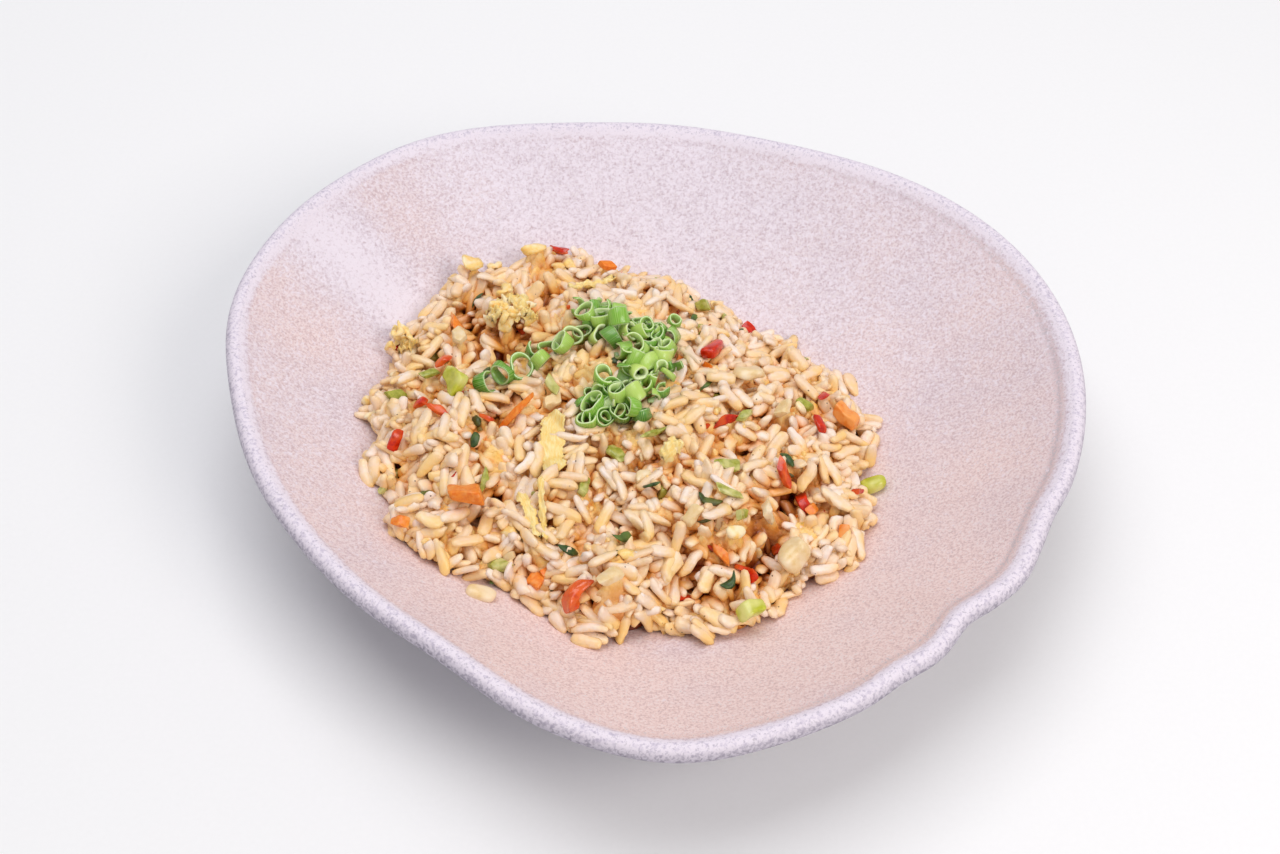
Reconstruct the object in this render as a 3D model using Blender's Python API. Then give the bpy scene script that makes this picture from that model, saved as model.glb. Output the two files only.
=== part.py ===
"""Fried rice heaped in a free-form stoneware dish.

The dish is one thick curved sheet of fired clay: a flat middle, a wall that sweeps up to
a round lip, a foot ring underneath, and an outline that was pushed in and out by hand.
The rice is one solid heap that fills the bottom of the dish. The larger toppings lie on
the heap, and two crumbs of food lie on the bare glaze beside it.

Metres, +Z up. The dish stands on z = 0, and the origin is under the middle of the dish.
Bearings are in degrees, counted from +X towards +Y. The diner sits at -Y.
"""
import bpy
import numpy as np

# --- dish ------------------------------------------------------------------------------
RIM_RADIUS = 0.1205           # mean distance from the middle to the centre of the lip
RIM_WAVES = (                 # (waves round the rim, depth, bearing of the first crest)
    (1, 0.0055, 96),
    (2, 0.0079, -22),
    (3, 0.0067, 27),
)
RIM_PUSHES = (                # (bearing, outward push, half-width): thumb marks in the rim
    (86, 0.0045, 12),
    (122, 0.0041, 10.5),
    (146, -0.0045, 10.5),
    (178, -0.0035, 10),
    (239, -0.0035, 10),
    (273, 0.0021, 8),
    (304, -0.0010, 3),
    (317, -0.0022, 3),
    (328, 0.0013, 3),
    (339, -0.0011, 3),
)
LIP_HEIGHT = 0.0435           # mean height of the lip's centre
LIP_TILTS = (                 # (waves round the rim, rise, bearing of the first crest)
    (1, 0.0025, 100),
    (2, 0.0010, 40),
)
LIP_RADIUS = 0.0030
WALL = 0.0055
FLOOR_MID = 0.0060            # height of the middle of the clay in the flat bottom
FLAT_SHARE = 0.22             # the bottom is flat out to this share of the radius
WALL_POWER = 1.75             # how late the wall turns upwards
PUSH_POWER = 5                # a push at the rim fades inwards with this power
PUSH_DROOP = 0.3              # a rim pushed outwards also drops by this share
FOLD_BEARING = 147            # a soft ridge runs down the wall from a pinch in the rim
FOLD_HALF_WIDTH = 7
FOLD_HEIGHT = 0.0022
FOOT_INNER = 0.415            # the foot ring, as shares of the radius
FOOT_OUTER = 0.455
FOOT_CHAMFER = 0.0008         # the ring's edges rise this much
FOOT_SLOPE = 0.008            # over this share of the radius
FOOT_ROOT = 0.015             # and the ring meets the wall this share away from its face
FOLD_START = 0.45             # the fold fades out between this share of the radius
FOLD_FADE = 0.4               # and this much further out

# --- rice ------------------------------------------------------------------------------
HEAP_CENTRE = (-0.0090, 0.0010)
HEAP_RADIUS = 0.0764
HEAP_WAVES = (
    (1, 0.0024, 194),
    (2, 0.0063, -28),
    (3, 0.0024, -11),
)
HEAP_LOBES = (                # (bearing, outward push, half-width): tongues and notches
    (30, 0.0025, 6),
    (88, -0.0025, 7),
    (108, 0.0040, 5),
    (128, 0.0030, 5),
    (160, -0.0030, 5),
    (184, -0.0040, 5),
    (219, 0.0040, 6),
    (241, -0.0070, 8),
    (264, 0.0035, 6),
    (280, -0.0040, 4),
    (297, 0.0055, 6),
    (312, -0.0040, 5),
    (326, 0.0030, 5),
    (347, -0.0080, 5),
)
LOBE_POWER = 4                # a lobe fades towards the middle with this power
HEAP_DEPTH = 0.0300           # thickness of the rice over the middle
HEAP_EDGE = 0.0030            # thickness of the rice at its edge: one grain
HEAP_ROUNDING = 2.3           # how broad the top of the mound is
HEAP_SHOULDER = 0.85          # how full its shoulder is
HEAP_LUMPS = (                # (x, y, height, half-width)
    (-0.010, 0.028, 0.0040, 0.013),
    (0.028, 0.020, 0.0025, 0.012),
    (-0.045, 0.040, 0.0035, 0.014),
    (-0.055, -0.008, 0.0020, 0.011),
    (-0.036, -0.030, 0.0022, 0.010),
    (-0.002, -0.050, 0.0030, 0.012),
    (0.034, -0.040, 0.0024, 0.011),
    (0.045, -0.006, 0.0020, 0.010),
    (-0.018, -0.012, -0.0018, 0.010),
    (0.014, -0.022, -0.0015, 0.009),
)

# --- toppings --------------------------------------------------------------------------
SECTION = (                   # half-widths across and heights, round a cross-section
    (-0.85, 0), (0, 0), (0.85, 0), (1, 0.45), (0.55, 0.92), (0, 1), (-0.55, 0.92), (-1, 0.45),
)
END_SHARE = 0.99              # the last section stands this far out
END_POWER = 2.6               # how blunt the ends are

# --- colours and gloss -------------------------------------------------------------------
GLAZE = (0.75, 0.66, 0.68)
GLAZE_ROUGHNESS = 0.55
FOOD_ROUGHNESS = 0.4
RICE = (0.64, 0.42, 0.21)
GREEN = (0.12, 0.34, 0.06)
PALE_GREEN = (0.42, 0.55, 0.12)
YELLOW = (0.80, 0.60, 0.20)
ORANGE = (0.80, 0.24, 0.03)
RED = (0.55, 0.04, 0.02)
WHITE = (0.78, 0.66, 0.48)

# --- making ----------------------------------------------------------------------------
GAP = 0.0003                  # between things that touch
TOPPING_GAP = 0.0004          # under a topping, whose flat facets bridge the lumps
BEARINGS = 96                 # steps round the dish
HEAP_BEARINGS = 80            # steps round the heap
EATING_SHARES = (0.08, 0.22, 0.29, 0.36, 0.45, 0.54, 0.63, 0.72, 0.81, 0.90, 0.965)
LIP_TURNS = (20, 55, 90, 125, 160)
OUTSIDE_SHARES = (0.95, 0.80, 0.63, FOOT_OUTER + FOOT_ROOT)
RECESS_SHARES = (FOOT_INNER - FOOT_ROOT, 0.20)
HEAP_TOP_SHARES = (0.07, 0.15, 0.24, 0.33, 0.42, 0.51, 0.60, 0.69, 0.77, 0.85, 0.92, 0.97, 1)
HEAP_UNDER_SHARES = (0.98, 0.80, 0.60, 0.38, 0.15)
STEPS = 8                     # rounds of matching a share to a plan point


def bearing_difference(angle, bearing):
    """The signed angle from a bearing in degrees, between half a turn each way."""
    return (angle - np.radians(bearing) + np.pi) % (2 * np.pi) - np.pi


def waves(angle, terms):
    """A sum of cosine waves round the circle."""
    return sum(depth * np.cos(count * (angle - np.radians(crest)))
               for count, depth, crest in terms)


def pushes(angle, terms):
    """A sum of bell-shaped pushes, each centred on its own bearing."""
    return sum(push * np.exp(-0.5 * (bearing_difference(angle, at) / np.radians(wide)) ** 2)
               for at, push, wide in terms)


def dish_mid(share, angle):
    """The middle of the clay, at a share of the way from the centre to the lip."""
    push = pushes(angle, RIM_PUSHES) * share ** PUSH_POWER
    radius = share * (RIM_RADIUS + waves(angle, RIM_WAVES)) + push
    climb = np.clip((share - FLAT_SHARE) / (1 - FLAT_SHARE), 0, None) ** WALL_POWER
    lip = LIP_HEIGHT + waves(angle, LIP_TILTS)
    fold = pushes(angle, ((FOLD_BEARING, FOLD_HEIGHT, FOLD_HALF_WIDTH),))
    fold = fold * np.clip((share - FOLD_START) / FOLD_FADE, 0, 1) ** 2
    height = FLOOR_MID + (lip - FLOOR_MID) * climb - PUSH_DROOP * push + fold
    return np.stack([radius * np.cos(angle), radius * np.sin(angle), height], -1)


def unit(vectors):
    """The same directions, one metre long."""
    return vectors / np.linalg.norm(vectors, axis=-1, keepdims=True)


def dish_frame(share, angle):
    """Two directions across the rim: along the wall, and out of its eating side."""
    step = 1e-4
    along = dish_mid(share + step, angle) - dish_mid(share, angle)
    around = dish_mid(share, angle + step) - dish_mid(share, angle - step)
    normal = unit(np.cross(along, around))
    return unit(np.cross(around, normal)), normal


def dish_skin(share, angle, side):
    """The glazed surface half a wall above (side 1) or below (side -1) the middle."""
    angle = np.asarray(angle, float)
    share = np.full_like(angle, share)
    return dish_mid(share, angle) + side * WALL / 2 * dish_frame(share, angle)[1]


def eating_height(x, y):
    """Height of the eating surface over plan points, by stepping the share to match."""
    angle = np.arctan2(y, x)
    radius = np.hypot(x, y)
    share = radius / RIM_RADIUS
    for _ in range(STEPS):
        reached = np.hypot(*dish_mid(share, angle).T[:2]).T
        share = share + (radius - reached) / RIM_RADIUS
    normal = dish_frame(np.maximum(share, 0.01), angle)[1]
    return dish_mid(share, angle)[..., 2] + WALL / 2 / normal[..., 2]


def heap_radius(share, angle):
    """Distance from the heap's own centre at a share of the way to its edge."""
    lobes = pushes(angle, HEAP_LOBES) * share ** LOBE_POWER
    return share * (HEAP_RADIUS + waves(angle, HEAP_WAVES)) + lobes


def heap_height(x, y):
    """Height of the rice over plan points: the dish, a rounded mound and its lumps."""
    across = x - HEAP_CENTRE[0]
    forward = y - HEAP_CENTRE[1]
    angle = np.arctan2(forward, across)
    radius = np.hypot(across, forward)
    share = radius / HEAP_RADIUS
    for _ in range(STEPS):
        share = share + (radius - heap_radius(share, angle)) / HEAP_RADIUS
        share = np.clip(share, 0, 1.5)
    share = np.clip(share, 0, 1)
    mound = (1 - share ** HEAP_ROUNDING) ** HEAP_SHOULDER
    lumps = sum(tall * np.exp(-((x - at_x) ** 2 + (y - at_y) ** 2) / (2 * wide ** 2))
                for at_x, at_y, tall, wide in HEAP_LUMPS)
    thickness = HEAP_EDGE + (HEAP_DEPTH - HEAP_EDGE) * mound + lumps * (1 - share ** 4)
    return eating_height(x, y) + thickness


def finish(name, colour, roughness, points, faces):
    """One named object with its own material, shaded smooth except at sharp edges."""
    mesh = bpy.data.meshes.new(name)
    mesh.from_pydata(points.tolist(), [], faces)
    mesh.update()
    mesh.shade_smooth()
    mesh.set_sharp_from_angle(angle=np.radians(40))
    material = bpy.data.materials.new(name)
    material.use_nodes = True
    shader = material.node_tree.nodes["Principled BSDF"]
    shader.inputs["Base Color"].default_value = (*colour, 1)
    shader.inputs["Roughness"].default_value = roughness
    shader.inputs["Metallic"].default_value = 0
    mesh.materials.append(material)
    thing = bpy.data.objects.new(name, mesh)
    bpy.context.collection.objects.link(thing)
    return thing


def closed_rings(rings):
    """Points and faces of a shape made of rings, closed at the middles of both ends.

    Seen from outside with the first ring on top, each ring runs anticlockwise.
    """
    count, around = rings.shape[:2]
    top = rings[0].mean(0)
    bottom = rings[-1].mean(0)
    points = np.vstack([rings.reshape(-1, 3), top, bottom])
    here = np.arange(around)
    after = (here + 1) % around
    faces = []
    for ring in range(count - 1):
        upper = ring * around
        lower = upper + around
        faces += zip((upper + here).tolist(), (lower + here).tolist(),
                     (lower + after).tolist(), (upper + after).tolist())
    first = count * around
    last = first + 1
    end = (count - 1) * around
    faces += [(first, int(a), int(b)) for a, b in zip(here, after)]
    faces += [(last, int(end + b), int(end + a)) for a, b in zip(here, after)]
    return points, faces


def dish():
    """The clay sheet: eating side, round lip, outside wall, foot ring and recess."""
    angle = np.arange(BEARINGS) * 2 * np.pi / BEARINGS
    one = np.ones_like(angle)
    rings = [dish_skin(share, angle, 1) for share in EATING_SHARES]
    centre = dish_mid(one, angle)
    along, normal = dish_frame(one, angle)
    for turn in np.radians(LIP_TURNS):
        rings.append(centre + LIP_RADIUS * (np.cos(turn) * normal + np.sin(turn) * along))
    rings += [dish_skin(share, angle, -1) for share in OUTSIDE_SHARES]
    for share, height in ((FOOT_OUTER + FOOT_SLOPE, FOOT_CHAMFER), (FOOT_OUTER, 0),
                          (FOOT_INNER, 0), (FOOT_INNER - FOOT_SLOPE, FOOT_CHAMFER)):
        ring = dish_mid(one * share, angle)
        ring[:, 2] = height
        rings.append(ring)
    rings += [dish_skin(share, angle, -1) for share in RECESS_SHARES]
    points, faces = closed_rings(np.array(rings))
    return finish("dish", GLAZE, GLAZE_ROUGHNESS, points, faces)


def heap_ring(share, angle):
    """Plan points all round the heap, at a share of the way to its edge."""
    radius = heap_radius(share, angle)
    return HEAP_CENTRE[0] + radius * np.cos(angle), HEAP_CENTRE[1] + radius * np.sin(angle)


def rice_heap():
    """The rice as one solid: its lumpy top, and an underside that fits the dish."""
    angle = np.arange(HEAP_BEARINGS) * 2 * np.pi / HEAP_BEARINGS
    rings = []
    for share in HEAP_TOP_SHARES:
        x, y = heap_ring(share, angle)
        rings.append(np.stack([x, y, heap_height(x, y)], -1))
    for share in HEAP_UNDER_SHARES:
        x, y = heap_ring(share, angle)
        rings.append(np.stack([x, y, eating_height(x, y) + GAP], -1))
    points, faces = closed_rings(np.array(rings))
    return finish("rice_heap", RICE, FOOD_ROUGHNESS, points, faces)


def topping(name, colour, centre, size, turn=0, bend=0, ground=heap_height, sections=6):
    """A piece of food that lies on the ground surface and follows it.

    Its plan is an oblong of size (length, width, height) with rounded ends, bent to the
    left along its length through `bend` degrees and turned by `turn` degrees. Rings of
    the cross-section follow each other along the length.
    """
    length, width, height = size
    loop = np.array(SECTION)
    rings = []
    for place in np.cos(np.linspace(0, np.pi, sections + 2)[1:-1]) * END_SHARE:
        narrowing = (1 - abs(place) ** END_POWER) ** (1 / END_POWER)
        across = loop[:, 0] * narrowing * width / 2
        lift = loop[:, 1] * narrowing * height
        along = np.full_like(across, place * length / 2)
        if bend:
            radius = length / np.radians(bend)
            swing = along / radius
            along = (radius - across) * np.sin(swing)
            across = radius - (radius - across) * np.cos(swing)
        cos, sin = np.cos(np.radians(turn)), np.sin(np.radians(turn))
        x = centre[0] + along * cos - across * sin
        y = centre[1] + along * sin + across * cos
        rings.append(np.stack([x, y, ground(x, y) + TOPPING_GAP + lift], -1))
    points, faces = closed_rings(np.array(rings))
    return finish(name, colour, FOOD_ROUGHNESS, points, faces)


def toppings():
    """Everything on the rice or beside it that is about as large as a berry."""
    topping("spring_onion", GREEN, (0.004, 0.019), (0.066, 0.015, 0.0055), turn=90,
            bend=190, sections=14)
    topping("spring_onion_tail", GREEN, (-0.040, 0.0175), (0.026, 0.010, 0.0040), turn=33)
    topping("egg_ribbon", YELLOW, (-0.0295, -0.0125), (0.022, 0.0075, 0.0030), turn=-88,
            bend=25)
    topping("egg_shred", YELLOW, (-0.0340, -0.0385), (0.015, 0.0040, 0.0025), turn=-72)
    topping("egg_curd", YELLOW, (-0.0435, 0.0385), (0.015, 0.0120, 0.0055), turn=20)
    topping("egg_curd_left", YELLOW, (-0.0780, 0.0350), (0.011, 0.0085, 0.0055), turn=-60)
    topping("egg_curd_back", YELLOW, (-0.0185, 0.0550), (0.015, 0.0055, 0.0035), turn=28)
    topping("celery_slice", PALE_GREEN, (-0.0600, 0.0110), (0.011, 0.0065, 0.0035), turn=-65)
    topping("celery_slice_front", PALE_GREEN, (0.0280, -0.0660), (0.0085, 0.0060, 0.0030),
            turn=25)
    topping("carrot_dice", ORANGE, (-0.0535, -0.0340), (0.011, 0.0065, 0.0035), turn=-8)
    topping("carrot_dice_right", ORANGE, (0.0600, 0.0060), (0.009, 0.0045, 0.0030), turn=-45)
    topping("red_pepper_front", RED, (-0.0215, -0.0640), (0.009, 0.0070, 0.0045), turn=70)
    topping("red_pepper_top", RED, (0.0195, 0.0250), (0.010, 0.0040, 0.0035), turn=60)
    topping("white_onion_petal", WHITE, (0.0300, 0.0150), (0.010, 0.0070, 0.0035), turn=15)
    topping("pale_dice", WHITE, (0.0410, -0.0480), (0.009, 0.0075, 0.0045), turn=50)
    topping("loose_bean", PALE_GREEN, (0.0675, -0.0150), (0.0080, 0.0055, 0.0045), turn=10,
            ground=eating_height)
    topping("loose_rice_flake", WHITE, (-0.0485, -0.0600), (0.0085, 0.0055, 0.0020),
            turn=-10, ground=eating_height)


def main():
    """Clears the scene and makes the dish, the rice and what lies on it."""
    for thing in list(bpy.data.objects):
        bpy.data.objects.remove(thing)
    dish()
    rice_heap()
    toppings()


main()
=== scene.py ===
# %% [markdown]
# # Fried rice in a free-form stoneware dish
#
# One portion of fried rice lies heaped in a thick, hand-shaped dish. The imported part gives
# the true sizes: a solid for the dish, a solid for the heap, and a solid for each large
# topping. This lesson keeps those places and puts the real surfaces on them: speckled
# glaze, thousands of single grains, vegetables, egg and cut spring onion.

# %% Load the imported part
import math

import bpy
import numpy as np
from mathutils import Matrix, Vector
from mathutils.bvhtree import BVHTree


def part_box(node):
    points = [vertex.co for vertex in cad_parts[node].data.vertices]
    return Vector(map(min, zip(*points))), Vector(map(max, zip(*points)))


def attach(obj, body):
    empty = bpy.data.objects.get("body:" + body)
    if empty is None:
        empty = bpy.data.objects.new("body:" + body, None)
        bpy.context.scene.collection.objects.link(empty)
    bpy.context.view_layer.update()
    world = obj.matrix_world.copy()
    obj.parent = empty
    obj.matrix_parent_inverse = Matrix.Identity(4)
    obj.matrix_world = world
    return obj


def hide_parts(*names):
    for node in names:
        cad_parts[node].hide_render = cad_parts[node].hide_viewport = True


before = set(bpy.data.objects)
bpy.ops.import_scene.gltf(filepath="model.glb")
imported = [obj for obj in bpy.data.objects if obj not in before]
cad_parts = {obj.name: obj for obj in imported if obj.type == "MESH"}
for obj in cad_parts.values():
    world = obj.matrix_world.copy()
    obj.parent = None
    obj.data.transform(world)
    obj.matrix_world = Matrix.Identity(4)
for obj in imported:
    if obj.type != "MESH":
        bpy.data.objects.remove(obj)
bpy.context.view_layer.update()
MM = 0.001

# %% [markdown]
# ## The camera
#
# The dish is seen from the diner's side, looking down at 50 degrees from half a metre.
# Blender's camera looks along its own -Z, so a vector from the camera to its target is
# turned into a rotation. This way is easier to read than three hand-typed angles.

# %% Camera
LOOK_AT = np.array([-3.3, -0.9, 30.0]) * MM
CAMERA_DISTANCE = 0.54
CAMERA_ELEVATION = math.radians(50)
LENS_MM = 50

back = np.array([0, -math.cos(CAMERA_ELEVATION), math.sin(CAMERA_ELEVATION)])
camera_data = bpy.data.cameras.new("camera")
camera_data.lens = LENS_MM
camera_data.clip_start = 0.01
camera = bpy.data.objects.new("camera", camera_data)
bpy.context.scene.collection.objects.link(camera)
camera.location = LOOK_AT + CAMERA_DISTANCE * back
camera.rotation_euler = Vector(-back).to_track_quat("-Z", "Y").to_euler()
bpy.context.scene.camera = camera
print("camera at", np.round(camera.location, 3))

# %% [markdown]
# ## Small tools
#
# A colour picked on a screen is sRGB, but a shader mixes light in linear values, so every
# hex colour passes through one function. A second function adds one shader node with its
# settings and links, and a few short ones on top of it name what a material does: mix,
# spread a range, make a noise of a size in millimetres.

# %% Colour and shader-node tools
def colour(hex_code):
    """A hex sRGB colour as linear RGBA: each channel undoes the sRGB curve."""
    srgb = np.array([int(hex_code[i:i + 2], 16) for i in (0, 2, 4)]) / 255
    linear = np.where(srgb <= 0.04045, srgb / 12.92, ((srgb + 0.055) / 1.055) ** 2.4)
    return (*linear.tolist(), 1.0)


def add(tree, kind, settings=None, **inputs):
    """Adds a shader node. Inputs are values, or output sockets to link from.

    An underscore in an input's name stands for a space, and i6 is the input number 6.
    """
    node = tree.nodes.new("ShaderNode" + kind)
    for name, value in (settings or {}).items():
        setattr(node, name, value)
    for name, value in inputs.items():
        socket = node.inputs[int(name[1:]) if name[1:].isdigit() else name.replace("_", " ")]
        if isinstance(value, bpy.types.NodeSocket):
            tree.links.new(value, socket)
        else:
            socket.default_value = value
    return node


def ramp(tree, factor, *stops):
    """A colour ramp through (position, hex colour) stops."""
    node = add(tree, "ValToRGB", Fac=factor)
    elements = node.color_ramp.elements
    while len(elements) < len(stops):
        elements.new(0.5)
    for element, (position, hex_code) in zip(elements, stops):
        element.position = position
        element.color = colour(hex_code)
    return node.outputs["Color"]


def mix(tree, factor, first, second):
    """Mixes two colours; either may be a hex code or a socket."""
    first = colour(first) if isinstance(first, str) else first
    second = colour(second) if isinstance(second, str) else second
    node = add(tree, "Mix", {"data_type": "RGBA"}, i0=factor, i6=first, i7=second)
    return node.outputs[2]


def spread(tree, value, low, high, to_low=0.0, to_high=1.0):
    """Maps the range low..high to a new range, and clamps it there."""
    node = add(tree, "MapRange", {"clamp": True}, Value=value, From_Min=low, From_Max=high,
               To_Min=to_low, To_Max=to_high)
    return node.outputs["Result"]


def noise(tree, place, size_mm, detail=2.0, roughness=0.5, distortion=0.0):
    """A noise whose blobs are about size_mm across, in object space (metres)."""
    node = add(tree, "TexNoise", Vector=place, Scale=1 / (size_mm * MM), Detail=detail,
               Roughness=roughness, Distortion=distortion)
    return node.outputs["Fac"]


def start_material(name):
    """An empty material: its tree, its shader and the object-space position."""
    material = bpy.data.materials.new(name)
    material.use_nodes = True
    tree = material.node_tree
    shader = tree.nodes["Principled BSDF"]
    place = add(tree, "TexCoord").outputs["Object"]
    return material, tree, shader, place


def bump(tree, shader, height, depth_mm, strength=1.0):
    """Roughens the shading as if the height socket's 0..1 were depth_mm deep."""
    node = add(tree, "Bump", Height=height, Strength=strength, Distance=depth_mm * MM)
    tree.links.new(node.outputs["Normal"], shader.inputs["Normal"])


# %% [markdown]
# Every shape below is worked out as whole arrays, and goes into a mesh in one step. A
# closed shape is a stack of rings with a point at each end, like a lathe part. Many copies
# of one shape share the same face pattern, shifted by the number of points in a copy.

# %% Mesh tools
def ring_faces(rings, around):
    """Quads between rings and triangles to the two end points.

    Points are ordered: all rings, then the first end point, then the last end point. The
    faces point outwards where every ring turns by the right-hand rule about the way from
    the first ring to the last.
    """
    ring, step = np.meshgrid(np.arange(rings - 1), np.arange(around), indexing="ij")
    after = (step + 1) % around
    quads = np.stack([ring * around + step, ring * around + after,
                      (ring + 1) * around + after, (ring + 1) * around + step], -1)
    here = np.arange(around)
    after = (here + 1) % around
    end = (rings - 1) * around
    first = np.full(around, rings * around)
    triangles = np.vstack([np.stack([first, after, here], -1),
                           np.stack([first + 1, end + here, end + after], -1)])
    return quads.reshape(-1, 4), triangles


def turned(quads, triangles):
    """The same faces with their other side out."""
    return quads[:, ::-1], triangles[:, ::-1]


def put_mesh(name, points, quads, triangles, values=None):
    """Makes an object from arrays. values are extra numbers kept on its points."""
    points = np.asarray(points, np.float32).reshape(-1, 3)
    mesh = bpy.data.meshes.new(name)
    mesh.vertices.add(len(points))
    mesh.vertices.foreach_set("co", points.ravel())
    corners = np.concatenate([quads.ravel(), triangles.ravel()]).astype(np.int32)
    starts = np.concatenate([np.arange(len(quads)) * 4,
                             len(quads) * 4 + np.arange(len(triangles)) * 3])
    mesh.loops.add(len(corners))
    mesh.loops.foreach_set("vertex_index", corners)
    mesh.polygons.add(len(starts))
    mesh.polygons.foreach_set("loop_start", starts.astype(np.int32))
    mesh.update(calc_edges=True)
    for key, numbers in (values or {}).items():
        layer = mesh.attributes.new(key, "FLOAT", "POINT")
        layer.data.foreach_set("value", np.asarray(numbers, np.float32).ravel())
    mesh.shade_smooth()
    thing = bpy.data.objects.new(name, mesh)
    bpy.context.scene.collection.objects.link(thing)
    return thing


def dress(thing, material, slot, *nodes):
    """Gives a piece its material, puts it in the root body and hides the CAD nodes it stands
    for. slot is not used.
    """
    thing.data.materials.append(material)
    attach(thing, "root")
    if nodes:
        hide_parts(*nodes)
    thing.data.calc_loop_triangles()
    print(thing.name, "has", len(thing.data.loop_triangles), "triangles")
    return thing


def copies(faces, count, stride):
    """The same faces for each of count copies, which have stride points each."""
    shift = np.arange(count)[:, None, None] * stride
    return (faces[None] + shift).reshape(-1, faces.shape[1])


# %% [markdown]
# ## Floor and light
#
# Food on white is lit by large soft lamps. Here one lamp stands in front and to the right,
# a wider one hangs overhead and a little behind, and the white room fills the shadows. Area
# lamps give the soft edges; their size matters more than their strength.

# %% Floor and lamps
def paper_white():
    """Seamless matt paper: an even, barely warm white."""
    material, tree, shader, place = start_material("white_paper")
    grain = noise(tree, place, 1.5)
    tree.links.new(mix(tree, grain, "F4F4F3", "F7F7F6"), shader.inputs["Base Color"])
    shader.inputs["Roughness"].default_value = 0.9
    return material


FLOOR_HALF = 2.5              # metres from the middle to an edge
ROOM_LIGHT = 0.42
floor_points = np.array([(-1, -1, 0), (1, -1, 0), (1, 1, 0), (-1, 1, 0)]) * FLOOR_HALF
floor = put_mesh("floor", floor_points, np.array([[0, 1, 2, 3]]), np.empty((0, 3), int))
floor.data.materials.append(paper_white())


def lamp(name, place, size, power, tint):
    """A square area lamp that faces the dish; place and size in metres, power in watts."""
    data = bpy.data.lights.new(name, "AREA")
    data.size = size
    data.energy = power
    data.color = colour(tint)[:3]
    thing = bpy.data.objects.new(name, data)
    thing.location = place
    aim = Vector((0, 0, 0.02)) - Vector(place)
    thing.rotation_euler = aim.to_track_quat("-Z", "Y").to_euler()
    bpy.context.scene.collection.objects.link(thing)


lamp("key", (0.70, -0.60, 0.85), 0.60, 5.8, "FFF9F4")
lamp("overhead", (-0.15, 0.28, 1.25), 1.00, 8.8, "FAFAFF")
room = bpy.data.worlds.new("white_room")
room.use_nodes = True
room.node_tree.nodes["Background"].inputs["Color"].default_value = colour("FAFAFF")
room.node_tree.nodes["Background"].inputs["Strength"].default_value = ROOM_LIGHT
bpy.context.scene.world = room
bpy.context.scene.view_settings.view_transform = "Standard"

# %% [markdown]
# ## The dish
#
# The dish is stoneware: a slab pressed over a mould, its rim pushed in and out by hand and
# wiped to a round lip, and one soft fold running down the wall. It could be sculpted, but
# a formula keeps it smooth at any resolution: the middle of the clay is a function of two
# parameters, the share of the way from the centre to the lip and the bearing. Half the wall
# thickness to each side of it are the two glazed faces. The numbers repeat the part's own.

# %% The clay's middle surface
RIM_RADIUS = 120.5 * MM
RIM_WAVES = ((1, 5.5 * MM, 96), (2, 7.9 * MM, -22), (3, 6.7 * MM, 27))
RIM_PUSHES = (                # bearing, outward push, half-width: where a hand pressed
    (86, 4.5 * MM, 12), (122, 4.1 * MM, 10.5), (146, -4.5 * MM, 10.5), (178, -3.5 * MM, 10),
    (239, -3.5 * MM, 10), (273, 2.1 * MM, 8), (304, -1.0 * MM, 3), (317, -2.2 * MM, 3),
    (328, 1.3 * MM, 3), (339, -1.1 * MM, 3),
)
LIP_HEIGHT = 43.5 * MM
LIP_TILTS = ((1, 2.5 * MM, 100), (2, 1.0 * MM, 40))
LIP_RADIUS = 3.0 * MM
WALL = 5.5 * MM
FLOOR_MID = 6.0 * MM
FLAT_SHARE, WALL_POWER = 0.22, 1.75       # flat out to here, then this curve up to the lip
PUSH_POWER, PUSH_DROOP = 5, 0.3           # a push grows towards the rim, and lowers it
FOLD_BEARING, FOLD_HALF_WIDTH, FOLD_HEIGHT = 147, 7, 2.2 * MM
FOLD_START, FOLD_FADE = 0.45, 0.4
FOOT_INNER, FOOT_OUTER, FOOT_CHAMFER = 0.415, 0.455, 0.8 * MM


def waves(angle, terms):
    """A sum of cosine waves round the circle: (count, depth, bearing of a crest)."""
    return sum(deep * np.cos(count * (angle - math.radians(crest)))
               for count, deep, crest in terms)


def bell(angle, bearing, half_width):
    """A bell curve round one bearing, 1 at its middle; both are in degrees."""
    off = (angle - math.radians(bearing) + np.pi) % (2 * np.pi) - np.pi
    return np.exp(-0.5 * (off / math.radians(half_width)) ** 2)


def clay(share, angle):
    """Middle of the clay. Radius: share times the rim's, plus its pushes. Height: flat,
    then a power of the share up to the lip, less the droop of a push, plus the fold."""
    push = sum(depth * bell(angle, at, wide) for at, depth, wide in RIM_PUSHES)
    push = push * share ** PUSH_POWER
    radius = share * (RIM_RADIUS + waves(angle, RIM_WAVES)) + push
    climb = np.clip((share - FLAT_SHARE) / (1 - FLAT_SHARE), 0, None) ** WALL_POWER
    fold = FOLD_HEIGHT * bell(angle, FOLD_BEARING, FOLD_HALF_WIDTH)
    fold = fold * np.clip((share - FOLD_START) / FOLD_FADE, 0, 1) ** 2
    rise = LIP_HEIGHT + waves(angle, LIP_TILTS) - FLOOR_MID
    height = FLOOR_MID + rise * climb - PUSH_DROOP * push + fold
    return np.stack([radius * np.cos(angle), radius * np.sin(angle), height], -1)


def unit(vectors):
    """The same directions, one unit long."""
    return vectors / np.linalg.norm(vectors, axis=-1, keepdims=True)


def clay_frame(share, angle):
    """Along the wall and out of its eating side, from small steps both ways."""
    step = 1e-4
    along = clay(share + step, angle) - clay(share, angle)
    around = clay(share, angle + step) - clay(share, angle - step)
    normal = unit(np.cross(along, around))
    return unit(np.cross(around, normal)), normal


print("rim height at the back, mm:", np.round(clay(1.0, np.array([np.pi / 2]))[0, 2] / MM, 1))
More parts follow.
